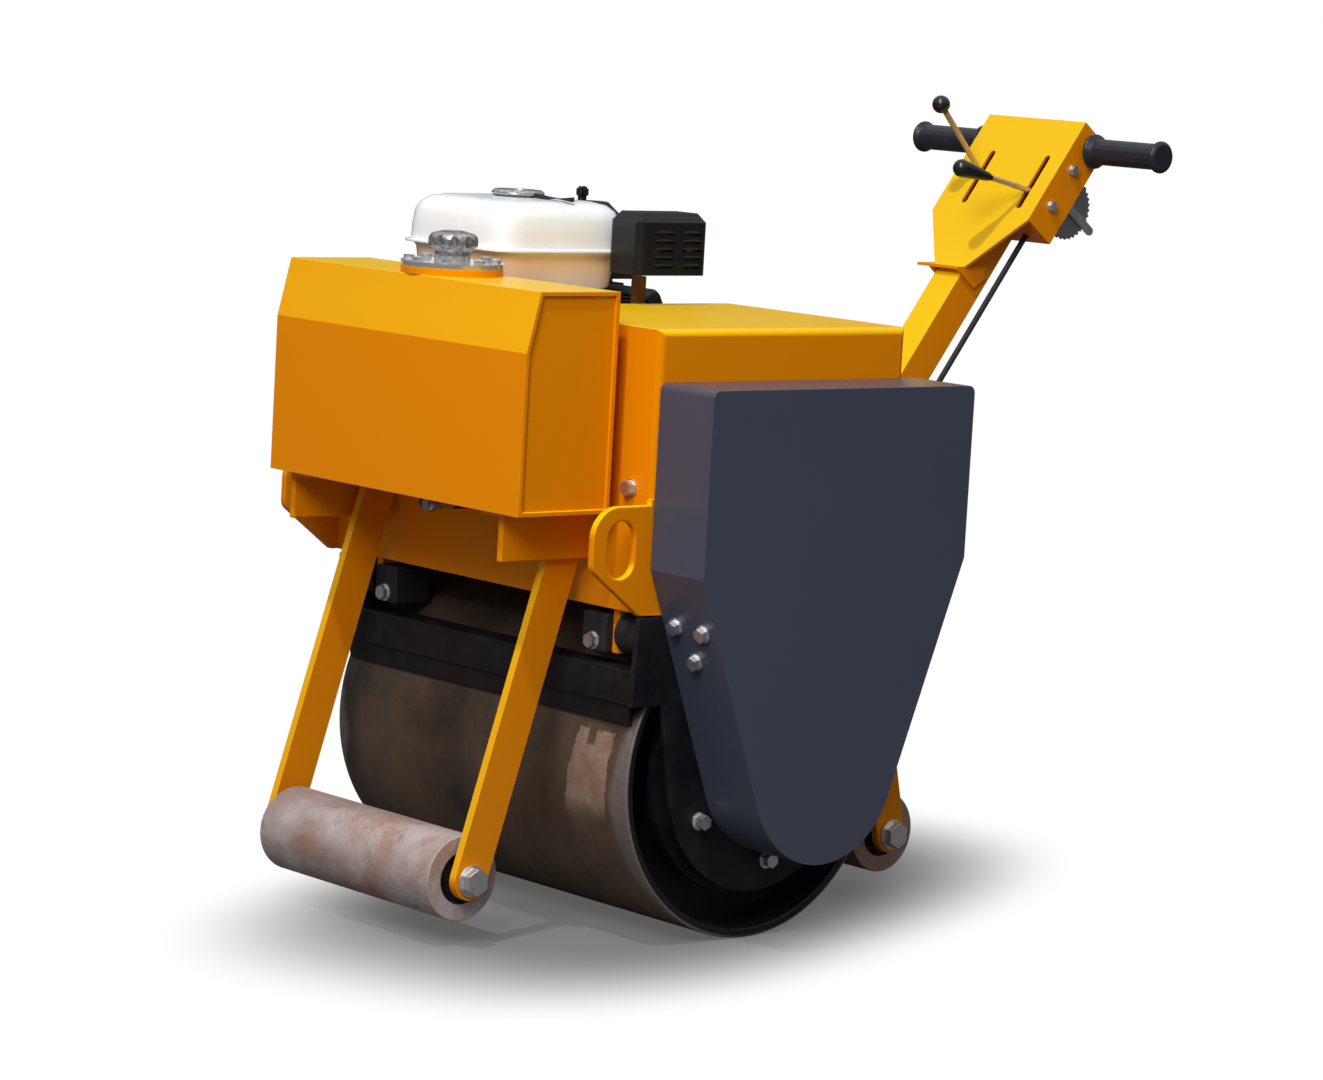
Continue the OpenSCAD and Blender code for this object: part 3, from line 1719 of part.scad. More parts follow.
module throttle_quadrant() {
  wall_x = console_w / 2 - console_t - quadrant_x;
  back = quadrant_r * 0.32;
  color("slategray")
    at_quadrant() {
      plate_x(0, quadrant_t)
        difference() {
          polygon(concat(
            [[-back, -quadrant_r * 0.9]],
            [for (i = [0:quadrant_teeth * 2]) let (
              a = -75 + 150 * i / (quadrant_teeth * 2),
              r = quadrant_r - (i % 2 == 0 ? 0 : quadrant_tooth))
              [r * cos(a), r * sin(a)]],
            [[-back, quadrant_r * 0.9]]));
          circle(d = pivot_pin_d);
        }
      block([0, -quadrant_depth + console_d - quadrant_tooth * 2, -tab_w / 2],
         [quadrant_t, -back, tab_w / 2]);
      block([0, -quadrant_depth + console_d - quadrant_tooth * 2, -tab_w / 2],
         [wall_x, -quadrant_depth + console_d - quadrant_tooth, tab_w / 2]);
    }
}

module throttle_lever() {
  color("silver")
    at_quadrant() {
      bar_x(quadrant_t + play, quadrant_t * 2, pivot_pin_d * 1.5);
      bar_x(-quadrant_t, quadrant_t * 2, pivot_pin_d - 2 * fit);
      plate_x(quadrant_t + play, lever_t)
        translate([quadrant_r * 0.6, 0])
          slot_shape(quadrant_r * 1.2 + pivot_pin_d, pivot_pin_d);
    }
}

/* Control cable: from the console's lower wall down beside the column and into the hood */
cable_x = 60;
cable_in_z = 628;
cable_bend_r = 60;
cable_depth = 41;

module control_cable() {
  // Lower end of the straight run, where the bend to the hood begins
  drop = console_z - cable_depth * sin(lean) - cable_bend_r * (1 - sin(lean)) - cable_in_z;
  s1 = drop / cos(lean);
  y1 = console_y + cable_depth * cos(lean) - s1 * sin(lean);
  color("black") {
    at_console()
      translate([cable_x, cable_depth, -s1]) {
        cylinder(h = s1 - console_l, d = cable_d);
        translate([0, 0, -cable_d])
          cylinder(h = 2 * cable_d, d = cable_d * 1.3);
      }
    translate([cable_x, y1 - cable_bend_r * cos(lean), cable_in_z + cable_bend_r])
      rotate([90, 0, 90])
        rotate([0, 0, -90])
          rotate_extrude(angle = 90 - lean)
            translate([cable_bend_r, 0])
              circle(d = cable_d);
    translate([cable_x, rear_y, cable_in_z])
      rotate([-90, 0, 0])
        cylinder(h = y1 - cable_bend_r * cos(lean) - rear_y, d = cable_d);
    translate([cable_x, y1 - cable_bend_r * cos(lean) - cable_d, cable_in_z])
      rotate([-90, 0, 0])
        cylinder(h = 2 * cable_d, d = cable_d * 1.3);
  }
}

/* Hexagon bolts that show on the outside */
bolt_af = 17;
bolt_h = 8;
bolt_washer = 2;
small_af = 12;

// A bolt head whose face looks to -Y, tipped down by an angle
module bolt_y(p, tip) {
  translate(p)
    rotate([tip, 0, 0])
      rotate([0, 0, -90])
        hex_head_x(bolt_af, bolt_h, bolt_washer);
}

module hex_bolts() {
  foot = [cover_foot_y, cover_foot_z];
  fold = [-cover_front_y, cover_fold_z];
  touch = foot + cover_foot_r * [cos(cover_a()), sin(cover_a())];
  tip = atan2(touch[0] - fold[0], fold[1] - touch[1]);
  color("silver") {
    bolt_y([frame_x - hood_bolt_in, -front_y, deck_z + bolt_af / 2], 0);
    // Three on the cover's tapered front wall: place across, and share of the way down it
    for (b = cover_bolt_shares)
      let (p = fold + (touch - fold) * b[1])
        bolt_y([cover_in_x + cover_t * b[0], p[0], p[1]], tip);
    // On the stop blocks, the console's sides and the far lifting eye
    for (m = [0, 1], n = [0, 1])
      mirror([m, 0, 0])
        mirror([0, n, 0])
          bolt_y([hanger_x - hanger_t - stop_l / 2, -rubber_y - hanger_w / 2,
              rubber_z - rubber_d / 4], 0);
    at_console()
      for (m = [0, 1], s = [console_l * 0.39, console_l * 0.76])
        mirror([m, 0, 0])
          translate([console_w / 2, console_d * 0.41, -s])
            hex_head_x(small_af, bolt_h * 0.6, bolt_washer);
    // Round the foot of each carrier
    at_drum()
      for (m = [0, 1], i = [0:carrier_bolt_n - 1])
        mirror([m, 0, 0])
          rotate([carrier_bolt_turn + i * 360 / carrier_bolt_n, 0, 0])
            translate([carrier_out_x, 0, -hub_bolt_pcd / 2])
              hex_head_x(bolt_af, bolt_h * 1.5, bolt_washer);
    // On the bearing housings
    at_drum()
      for (m = [0, 1], i = [0:housing_bolt_n - 1])
        mirror([m, 0, 0])
          rotate([i * 360 / housing_bolt_n + hub_bolt_turn, 0, 0])
            translate([carrier_out_x + housing_l * 0.4, 0, housing_d / 2 + housing_lip / 2])
              hex_head_x(small_af * 0.8, bolt_h * 0.7, 0.2);
  }
}
hood_bolt_in = 41;
carrier_bolt_n = 5;
carrier_bolt_turn = -62.5;
cover_bolt_shares = [[0.25, 0.23], [0.76, 0.235], [0.48, 0.37]];
housing_bolt_n = 6;

// Angle at which the cover's front wall meets its round foot
function cover_a() = tangent_angle([-cover_front_y, cover_fold_z],
  [cover_foot_y, cover_foot_z], cover_foot_r, 1);

deck_plate();
side_plate_left();
side_plate_right();
aprons();
front_beams();
rear_beams();
front_arms();
rear_arms();
roller_axles();
front_roller();
rear_roller();
drum_shell();
drum_hubs();
drum_sprocket();
exciter_shaft();
exciter_pulley();
carrier_left();
carrier_right();
rubber_mounts();
carrier_ties();
scrapers();
bearing_housings();
water_tank();
filler_flange();
filler_cap();
water_valve();
valve_lever();
water_hose();
spray_pipe();
hood();
side_cover();
gearbox();
gearbox_input();
gearbox_output();
shift_lever();
drive_chain();
drive_belts();
vibration_belt();
idler_arm();
line_shaft();
crankshaft();
engine_block();
recoil_starter();
starter_grip();
fuel_tank();
fuel_cap();
muffler();
muffler_guard();
air_cleaner();
carburettor();
handle_column();
control_head();
handlebar();
grips();
travel_lever();
vibration_lever();
throttle_quadrant();
throttle_lever();
control_cable();
hex_bolts();
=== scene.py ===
import json
import math

import bpy
from mathutils import Matrix, Vector


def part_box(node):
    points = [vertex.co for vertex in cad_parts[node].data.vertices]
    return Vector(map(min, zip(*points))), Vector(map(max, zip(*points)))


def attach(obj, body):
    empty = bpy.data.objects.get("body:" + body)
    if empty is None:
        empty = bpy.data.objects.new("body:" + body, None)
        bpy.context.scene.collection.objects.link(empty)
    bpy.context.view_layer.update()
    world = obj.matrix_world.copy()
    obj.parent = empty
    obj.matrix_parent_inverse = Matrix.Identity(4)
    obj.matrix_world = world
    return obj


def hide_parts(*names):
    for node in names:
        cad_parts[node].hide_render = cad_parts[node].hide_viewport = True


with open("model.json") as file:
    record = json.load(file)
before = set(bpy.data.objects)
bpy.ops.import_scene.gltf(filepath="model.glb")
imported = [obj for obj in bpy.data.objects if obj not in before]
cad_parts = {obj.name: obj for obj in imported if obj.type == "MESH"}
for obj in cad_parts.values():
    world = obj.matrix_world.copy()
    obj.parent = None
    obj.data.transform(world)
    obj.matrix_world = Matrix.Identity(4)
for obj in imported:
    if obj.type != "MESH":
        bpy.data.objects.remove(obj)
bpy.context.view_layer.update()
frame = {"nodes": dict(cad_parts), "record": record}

scene = bpy.context.scene
scene.view_settings.view_transform = "Standard"

# Camera, a long lens at the height of the handlebar, in front of the machine's chain side.
# It stands and leans as the one that took the photograph did.
yaw, pitch, roll = (math.radians(a) for a in (49.05, 7.06, 3.25))
behind = Vector((math.sin(yaw) * math.cos(pitch), -math.cos(yaw) * math.cos(pitch), math.sin(pitch)))
level = Vector((0, 0, 1)).cross(behind).normalized()
above = behind.cross(level)
camera_x = level * math.cos(roll) + above * math.sin(roll)
camera_y = above * math.cos(roll) - level * math.sin(roll)
camera = bpy.data.objects.new("camera", bpy.data.cameras.new("camera"))
scene.collection.objects.link(camera)
camera.data.sensor_width = 36
camera.data.lens = 120.66
camera.data.clip_end = 100
camera.matrix_world = Matrix.Translation((4.4114, -3.7457, 1.1931)) @ Matrix(
    (camera_x, camera_y, behind)).transposed().to_4x4()
scene.camera = camera

# Floor and backdrop: one sheet that the camera sees as plain white, except for a rounded patch under
# and round the machine. In that patch it is dark grey paper lit by the lamps: a painted shadow, which
# also shows the machine's real shadow.
bpy.ops.mesh.primitive_plane_add(size=60, location=(0, 0, 0))
floor = bpy.context.object
floor.name = "floor"


class Value:
    """A number inside a shader, so that its sums are written as plain Python."""

    def __init__(self, nodes, socket):
        self.nodes, self.socket = nodes, socket

    def work(self, operation, a, b):
        return self.nodes.node("ShaderNodeMath", {"operation": operation}, {0: a, 1: b})

    def __add__(self, other): return self.work("ADD", self, other)
    def __radd__(self, other): return self.work("ADD", other, self)
    def __sub__(self, other): return self.work("SUBTRACT", self, other)
    def __rsub__(self, other): return self.work("SUBTRACT", other, self)
    def __mul__(self, other): return self.work("MULTIPLY", self, other)
    def __rmul__(self, other): return self.work("MULTIPLY", other, self)
    def __truediv__(self, other): return self.work("DIVIDE", self, other)
    def __rtruediv__(self, other): return self.work("DIVIDE", other, self)
    def __pow__(self, other): return self.work("POWER", self, other)
    def least(self, other): return self.work("MINIMUM", self, other)
    def most(self, other): return self.work("MAXIMUM", self, other)
    def size(self): return self.work("ABSOLUTE", self, 0)
    def span(self, other): return (self * self + other * other) ** 0.5
    def wave(self, pitch): return self.work("SINE", self * (2 * math.pi / pitch), 0) * 0.5 + 0.5


class Nodes:
    """A shader's node tree, and the one way in which its nodes are made."""

    def __init__(self, tree):
        self.tree = tree

    def node(self, kind, settings=None, sockets=None, out=0):
        made = self.tree.nodes.new(kind)
        for key, value in (settings or {}).items():
            setattr(made, key, value)
        for key, value in (sockets or {}).items():
            self.join(value, made.inputs[key])
        return Value(self, made.outputs[out])

    def join(self, value, socket):
        if isinstance(value, Value):
            self.tree.links.new(value.socket, socket)
        else:
            socket.default_value = value


class Finish(Nodes):
    """A material, its shader, and the patterns on it."""

    # A Mix node's sockets, when it mixes colours.
    share_in, first_in, second_in, mixed_out = 0, 6, 7, 2

    def __init__(self, name, **sockets):
        self.material = bpy.data.materials.new(name)
        self.material.use_nodes = True
        super().__init__(self.material.node_tree)
        self.shader = self.tree.nodes["Principled BSDF"]
        self.spot = None
        for key, value in sockets.items():
            socket = key.replace("_", " ").title().replace("Ior", "IOR")
            self.shader.inputs[socket].default_value = value

    def give(self, name, value):
        self.join(value, self.shader.inputs[name])

    def place(self, stretch=(1, 1, 1)):
        if self.spot is None:
            self.spot = self.node("ShaderNodeTexCoord", out="Object")
        return self.node("ShaderNodeMapping", sockets={"Vector": self.spot, "Scale": stretch})

    def axis(self, name):
        return self.node("ShaderNodeSeparateXYZ", sockets={"Vector": self.place()}, out=name)

    def facing(self, name):
        return self.node("ShaderNodeSeparateXYZ", sockets={
            "Vector": self.node("ShaderNodeTexCoord", out="Normal")}, out=name)

    def grain(self, scale, detail=4.0, rough=0.55, stretch=(1, 1, 1)):
        return self.node("ShaderNodeTexNoise", sockets={
            "Vector": self.place(stretch), "Scale": scale, "Detail": detail, "Roughness": rough})

    def spread(self, value, low, high, to_low=0.0, to_high=1.0):
        return self.node("ShaderNodeMapRange", {"clamp": True}, {
            "Value": value, "From Min": low, "From Max": high, "To Min": to_low, "To Max": to_high})

    def blend(self, share, a, b):
        first, second = ((*colour, 1) if isinstance(colour, tuple) else colour for colour in (a, b))
        return self.node("ShaderNodeMix", {"data_type": "RGBA"}, {
            self.share_in: share, self.first_in: first, self.second_in: second}, self.mixed_out)

    def relief(self, height, depth):
        self.give("Normal", self.node("ShaderNodeBump", sockets={
            "Strength": 1.0, "Distance": depth, "Height": height}))


paper = Finish("paper_with_painted_shadow", roughness=0.9, base_color=(0.12, 0.12, 0.12, 1))
shadow_place, shadow_turn = (-0.049, -0.054, 0), (0, 0, -0.374)
turned_spot = paper.node("ShaderNodeMapping", sockets={
    "Vector": paper.node("ShaderNodeTexCoord", out="Object"), "Location": shadow_place,
    "Rotation": shadow_turn})
along, across = (paper.node("ShaderNodeSeparateXYZ", sockets={"Vector": turned_spot}, out=axis).size()
                 for axis in "XY")
half_wide, half_long, squareness = 0.36, 0.68, 2.6
painted_shadow_reach = ((along / half_wide) ** squareness + (across / half_long) ** squareness) ** (1 / squareness)
# Share of white glow: the camera sees white outside the patch, and inside it the dark grey paper that
# makes the painted shadow.
clear = paper.node("ShaderNodeMapRange", {"interpolation_type": "SMOOTHSTEP"}, {
    "Value": painted_shadow_reach, "From Min": 0.56, "From Max": 1.26, "To Min": 0.30}) ** 1.9
glow = paper.node("ShaderNodeEmission", sockets={"Color": (1, 1, 1, 1)})
seen = paper.node("ShaderNodeMixShader", sockets={
    0: paper.node("ShaderNodeLightPath", out="Is Camera Ray") * clear,
    1: Value(paper, paper.shader.outputs[0]), 2: glow})
paper.join(seen, paper.tree.nodes["Material Output"].inputs["Surface"])
floor.data.materials.append(paper.material)

# Lamps: a hazy sky, a high key lamp a little in front of the machine and to its chain side,
# as the console's levers throw their shadows, and a broad one in front, halfway up.
world = bpy.data.worlds.new("studio")
scene.world = world
world.use_nodes = True
air = Nodes(world.node_tree)
sky = air.tree.nodes["Background"]
sky.inputs["Color"].default_value = (0.93, 0.96, 1.0, 1)
sky.inputs["Strength"].default_value = 0.36
up = air.node("ShaderNodeSeparateXYZ", sockets={
    "Vector": air.node("ShaderNodeTexCoord", out="Generated")}, out="Z")
sky_height = air.node("ShaderNodeMapRange", sockets={
    "Value": up, "From Min": 0.08, "From Max": 0.85, "To Min": 0.06, "To Max": 1.0})
mirror_sky = air.node("ShaderNodeBackground", sockets={"Strength": sky_height})
white = air.node("ShaderNodeBackground", sockets={"Color": (1, 1, 1, 1)})
in_mirror = air.node("ShaderNodeMixShader", sockets={
    0: air.node("ShaderNodeLightPath", out="Is Glossy Ray"),
    1: Value(air, sky.outputs[0]), 2: mirror_sky})
in_camera = air.node("ShaderNodeMixShader", sockets={
    0: air.node("ShaderNodeLightPath", out="Is Camera Ray"), 1: in_mirror, 2: white})
air.join(in_camera, air.tree.nodes["World Output"].inputs["Surface"])


def lamp(name, place, towards, size, watts):
    """A square lamp of this size and power that shines from its place towards a point."""
    light = bpy.data.lights.new(name, "AREA")
    light.size = size
    light.energy = watts
    stand = bpy.data.objects.new(name, light)
    scene.collection.objects.link(stand)
    stand.location = place
    stand.rotation_euler = (Vector(towards) - Vector(place)).to_track_quat("-Z", "Y").to_euler()


lamp("key_lamp", (1.2, -2.3, 5.6), (0, 0, 0.5), 0.2, 158)
lamp("front_lamp", (2.55, -3.86, 3.79), (0, 0, 0.5), 2.0, 172)

# Water tank: a box of folded 4 mm plate with its front leant back at the top. Its ends are
# plates welded a little inside the rim. It is powder coated amber and stands on the front beams.
mm = 0.001
body_of = {n: body for body, nodes in frame["record"]["behaviour"]["bodies"].items() for n in nodes}


def alone(*pieces):
    """Selects these pieces and nothing else, with the first of them active."""
    bpy.ops.object.select_all(action="DESELECT")
    for piece in pieces:
        piece.select_set(True)
    bpy.context.view_layer.objects.active = pieces[0]


def shaded(piece, smooth):
    """Smooths a piece's rounded edges, while its flat faces are still lit as flat."""
    alone(piece)
    bpy.ops.mesh.customdata_custom_splitnormals_clear()
    bpy.ops.object.shade_smooth_by_angle(angle=math.radians(smooth))
    piece.modifiers.new("flat_faces", "WEIGHTED_NORMAL").keep_sharp = True
    bpy.ops.object.modifier_apply(modifier="flat_faces")


def rounded(piece, width, rounds, angle=30):
    """Rounds the edges that turn by more than this angle to this width, in so many rounds."""
    bevel = piece.modifiers.new("rounded", "BEVEL")
    bevel.width = width
    bevel.segments = rounds
    bevel.limit_method = "ANGLE"
    bevel.angle_limit = math.radians(angle)


def finished(piece, name, finish, node, smooth):
    """Applies a made piece's modifiers and place, and gives it its name, finish and body."""
    alone(piece)
    for modifier in list(piece.modifiers):
        bpy.ops.object.modifier_apply(modifier=modifier.name)
    bpy.ops.object.transform_apply(location=True, rotation=True, scale=True)
    shaded(piece, smooth)
    piece.name = name
    piece.data.materials.clear()
    piece.data.materials.append(finish.material)
    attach(piece, body_of[node])


def eased(node, name, finish, edge, rounds=3, angle=28):
    """The node's form with its loose corners merged and its edges rounded, as pressed plate has."""
    piece = bpy.data.objects.new(name, frame["nodes"][node].data.copy())
    scene.collection.objects.link(piece)
    alone(piece)
    bpy.ops.mesh.customdata_custom_splitnormals_clear()
    bpy.ops.object.mode_set(mode="EDIT")
    bpy.ops.mesh.select_all(action="SELECT")
    bpy.ops.mesh.remove_doubles(threshold=0.01 * mm)
    bpy.ops.mesh.dissolve_limited(angle_limit=math.radians(0.6))
    bpy.ops.object.mode_set(mode="OBJECT")
    rounded(piece, edge, rounds, angle)
    finished(piece, name, finish, node, 50)
    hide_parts(node)
    return piece


amber = Finish("amber_powder_coat", coat_weight=0.02, coat_roughness=0.12, specular_ior_level=0.3,
               specular_tint=(1.0, 0.62, 0.01, 1))
tone = amber.grain(2.6, 3.0)
# Faces that look up are paler and yellower and the others are deeper orange: painted sky light and
# painted shade laid on the amber. From the console's foot up, the painted sky light is a little weaker.
shade_side_amber = amber.blend(tone, (0.84, 0.250, 0.0008), (0.78, 0.222, 0.0008))
low_sky_lit_amber = amber.blend(tone, (0.92, 0.55, 0.004), (0.88, 0.505, 0.003))
console_foot, console_middle = 780 * mm, 880 * mm
sky_lit_amber = amber.blend(
    amber.spread(amber.axis("Z"), console_foot, console_middle), low_sky_lit_amber, (0.82, 0.485, 0.006))
low = amber.spread(amber.axis("Z") + amber.grain(9.0, 6.0) * 0.16, 0.10, 0.62, 1.0, 0.0)
dust = amber.grain(55.0, 8.0, 0.7) * low
paint = amber.blend(amber.spread(amber.facing("Z") + tone * 0.08, 0.02, 0.52), shade_side_amber, sky_lit_amber)
amber.give("Base Color", amber.blend(dust * 0.18, paint, (0.40, 0.24, 0.07)))
amber.give("Roughness", 0.30 + dust * 0.34 + amber.grain(14.0, 5.0) * 0.10)
amber.relief(amber.grain(420.0, 2.0) + amber.grain(38.0, 3.0) * 0.8, 0.00009)

rim_width, end_depth = 4.5 * mm, 3.5 * mm
tank = eased("water_tank", "water_tank_shell", amber, 3.2 * mm, 4, 10)
for side in (-1, 1):
    end_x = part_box("water_tank")[side > 0][0]
    alone(tank)
    for face in tank.data.polygons:
        face.select = face.normal.x * side > 0.99 and abs(face.center.x - end_x) < 0.2 * mm
    bpy.ops.object.mode_set(mode="EDIT")
    bpy.ops.mesh.inset(thickness=rim_width)
    bpy.ops.mesh.inset(thickness=0.8 * mm, depth=-end_depth)
    bpy.ops.object.mode_set(mode="OBJECT")
shaded(tank, 40)

# Filler: a bright chromed flange bolted on the tank's riser, with a screwed, fluted cap. The
# cap is cast and a little duller, with grime in its flutes, and so is the engine's fuel cap.
chrome = Finish("bright_chrome", metallic=0.8)
chrome.give("Base Color", chrome.blend(chrome.grain(90.0, 6.0), (0.66, 0.67, 0.68), (0.90, 0.91, 0.92)))
chrome.give("Roughness", 0.08 + chrome.grain(60.0, 6.0) * 0.2)
chrome.relief(chrome.grain(240.0, 4.0), 0.00006)
cast_cap = Finish("cast_cap_metal", metallic=0.8)
pits = cast_cap.grain(180.0, 8.0, 0.7)
cast_cap.give("Base Color", cast_cap.blend(
    cast_cap.spread(pits, 0.35, 0.6), (0.20, 0.20, 0.20), (0.60, 0.605, 0.61)))
cast_cap.give("Roughness", 0.12 + pits * 0.22)
cast_cap.relief(pits, 0.00006)
eased("filler_flange", "tank_filler_flange", chrome, 0.8 * mm, 2)
eased("filler_cap", "tank_filler_cap", cast_cap, 1.0 * mm, 2, 40)
eased("fuel_cap", "engine_fuel_cap", cast_cap, 1.2 * mm, 3, 35)

# Hood: folded plate over the belt drive, powder coated with the tank. The dark side cover is
# a deep pressed pan in slate paint, whose sides taper down to a round foot.
eased("hood", "belt_hood", amber, 3.5 * mm, 4, 12)
slate = Finish("slate_paint", coat_weight=0.25, coat_roughness=0.14, specular_ior_level=0.3)
shade = slate.grain(2.2, 4.0)
grime = slate.spread(slate.axis("Z") + slate.grain(7.0, 6.0) * 0.2, 0.12, 0.45, 1.0, 0.0)
slate_blue = slate.blend(shade, (0.050, 0.060, 0.092), (0.063, 0.073, 0.108))
slate.give("Base Color", slate.blend(
    grime * slate.grain(60.0, 8.0, 0.7) * 0.35, slate_blue, (0.075, 0.066, 0.058)))
slate.give("Roughness", 0.30 + shade * 0.14 + grime * 0.16)
slate.relief(slate.grain(360.0, 2.0) + slate.grain(26.0, 3.0), 0.00010)
eased("side_cover", "chain_cover", slate, 3.5 * mm, 4, 12)

# Frame: deck, side plates with lifting eyes, aprons, angle beams and flat-bar arms, all cut
# from plate, welded together and powder coated amber in one go.
for node, edge in (("deck_plate", 1.0), ("side_plate_left", 2.0), ("side_plate_right", 2.0),
                   ("aprons", 1.2), ("front_beams", 2.2), ("rear_beams", 2.2),
                   ("front_arms", 1.6), ("rear_arms", 1.6)):
    eased(node, "frame_" + node, amber, edge * mm)

# Handle: a square tube that leans back, welded to the cross member behind. The console with
# its two slots is bent from plate and welded on it, and a level shelf stands under the console.
eased("handle_column", "handle_tube", amber, 4.0 * mm, 4)
eased("control_head", "console", amber, 1.4 * mm, 3, 12)

# Drum: a rolled and welded steel shell, bare and oily, worn lighter where it has run on stone. A
# lighter band at each end is partly worn edge and partly a painted highlight, and the bore is near
# black, partly black paint and partly painted shade. Its black end plates and bolted hubs stand a
# little inside the rims.
drum_z, half_drum, shell_bore = 212.5 * mm, 300 * mm, 202 * mm
drum_steel = Finish("worn_drum_steel")
bands = drum_steel.grain(1.6, 7.0, 0.62, (9.0, 0.5, 0.5))
blotch = drum_steel.grain(4.2, 9.0, 0.62)
fine = drum_steel.grain(150.0, 8.0, 0.7)
streaks = drum_steel.grain(9.0, 8.0, 0.68, (7.0, 0.8, 0.8))
across_x, from_y, from_z = (drum_steel.axis(a) for a in "XYZ")
radius = from_y.span(from_z - drum_z)
# The shell's bore and most of each rim's end face are near black, leaving a thin steel edge: partly
# black paint, partly painted shade of the deep inside of the rim.
end_face = drum_steel.spread(across_x.size(), half_drum - 1.8 * mm, half_drum - 1.2 * mm)
skin_of_drum = drum_steel.spread(radius - end_face * 0.0075 + fine * 0.0006,
                                 shell_bore, shell_bore + 0.6 * mm)
mottle = blotch + bands * 0.22 + streaks * 0.16 + fine * 0.10
oil = drum_steel.blend(
    drum_steel.spread(mottle, 0.60, 0.92), (0.052, 0.043, 0.033), (0.185, 0.118, 0.075))
rusty = drum_steel.blend(drum_steel.spread(drum_steel.grain(11.0, 8.0, 0.66), 0.52, 0.70) * 0.5,
                         oil, (0.20, 0.100, 0.052))
ragged = (drum_steel.grain(90.0, 8.0, 0.75) - 0.5) * 0.016
# The bared band at each end is widest near mid-height and wider at the chain end. It is partly worn
# edge and partly a painted highlight.
chain_end = drum_steel.spread(across_x, -0.1, 0.1, 0.0, 0.014)
bright_z, bright_x = 190 * mm, 274 * mm
uneven = ragged * 0.7 + (blotch - 0.5) * 0.05
edge = drum_steel.spread(across_x.size() + chain_end - (from_z - bright_z).size() * 0.22 + uneven,
                         bright_x, bright_x + 10 * mm)
patch_x, patch_half, patch_top, patch_foot = 229.5 * mm, 34 * mm, 270 * mm, 155 * mm
notch_x, notch_half, notch_foot = 222 * mm, 7.5 * mm, 250 * mm
lower = patch_top - from_z
within_sides = drum_steel.spread((across_x - patch_x + lower * 0.12).size() - lower * 0.06 + ragged,
                                 patch_half - 1.5 * mm, patch_half + 0.5 * mm, 1.0, 0.0)
above_foot = drum_steel.spread(from_z + ragged * 2, patch_foot, patch_foot + 27 * mm)
under_top = drum_steel.spread(from_z + ragged, patch_top, patch_top + 2 * mm, 1.0, 0.0)
beside_notch = drum_steel.spread((across_x - notch_x).size() + ragged * 0.5,
                                 notch_half - 1 * mm, notch_half + 1 * mm)
under_notch = drum_steel.spread(from_z, notch_foot, notch_foot + 3 * mm, 1.0, 0.0)
at_front = drum_steel.spread(from_y, -140 * mm, -120 * mm, 1.0, 0.0)
patch = within_sides * above_foot * under_top * beside_notch.most(under_notch) * at_front
ground = drum_steel.spread(bands + blotch * 0.45, 0.98, 1.12)
bare = drum_steel.blend(
    drum_steel.grain(34.0, 8.0, 0.7, (1, 3, 3)), (0.14, 0.12, 0.115), (0.30, 0.265, 0.26))
copper = drum_steel.blend(drum_steel.spread(drum_steel.grain(26.0, 8.0, 0.7), 0.34, 0.66),
                          (0.28, 0.165, 0.105), (0.46, 0.335, 0.26))
rubbed_and_highlit = drum_steel.blend((ground * 0.4).most(edge * 0.85), rusty, bare)
steel = drum_steel.blend(patch * 0.95, rubbed_and_highlit, copper)
drum_steel.give("Base Color", drum_steel.blend(skin_of_drum, (0.002, 0.002, 0.0022), steel))
drum_steel.give("Metallic", skin_of_drum * 0.45)
drum_steel.give("Roughness", 0.36 + fine * 0.22 + blotch * 0.08)
drum_steel.relief(fine + bands * 1.2 + blotch + streaks * 0.6, 0.0004)
eased("drum_shell", "drum_rim", drum_steel, 2.5 * mm, 3, 40)
hub_black = Finish("oily_black_paint", specular_ior_level=0.25)
smear = hub_black.grain(24.0, 8.0, 0.65)
hub_black.give("Base Color", hub_black.blend(
    hub_black.spread(smear, 0.45, 0.75), (0.006, 0.0065, 0.0085), (0.018, 0.0175, 0.020)))
hub_black.give("Roughness", 0.26 + smear * 0.4)
hub_black.relief(smear + hub_black.grain(300.0, 4.0) * 0.3, 0.0004)


def dress(node, finish):
    """A CAD node keeps its own form and gets its finish."""
    mesh = frame["nodes"][node].data
    mesh.materials.clear()
    mesh.materials.append(finish.material)


dress("drum_hubs", hub_black)

# Support rollers: thick tube, rusted brown and rubbed grey, that turns on plated axles held in
# the arms by big nuts. The frame's other bolts are zinc plated as well.
rust = Finish("rusted_tube", metallic=0.25)
flow = rust.grain(9.0, 9.0, 0.62, (1.0, 1.6, 1.6))
spots = rust.grain(48.0, 9.0, 0.72)
scabs = rust.grain(9.5, 9.0, 0.64)
brown = rust.blend(rust.spread(flow, 0.36, 0.62), (0.33, 0.235, 0.205), (0.50, 0.425, 0.41))
brown = rust.blend(rust.spread(scabs, 0.51, 0.63) * 0.85, brown, (0.36, 0.19, 0.12))
brown = rust.blend(rust.spread(spots, 0.56, 0.68) * 0.55, brown, (0.13, 0.085, 0.07))
axle_z, front_axle_y, rear_axle_y, tube_bore = 86 * mm, -368 * mm, 350 * mm, 34 * mm
over_axle = rust.axis("Z") - axle_z
from_front, from_rear = ((rust.axis("Y") - axle_y).span(over_axle)
                         for axle_y in (front_axle_y, rear_axle_y))
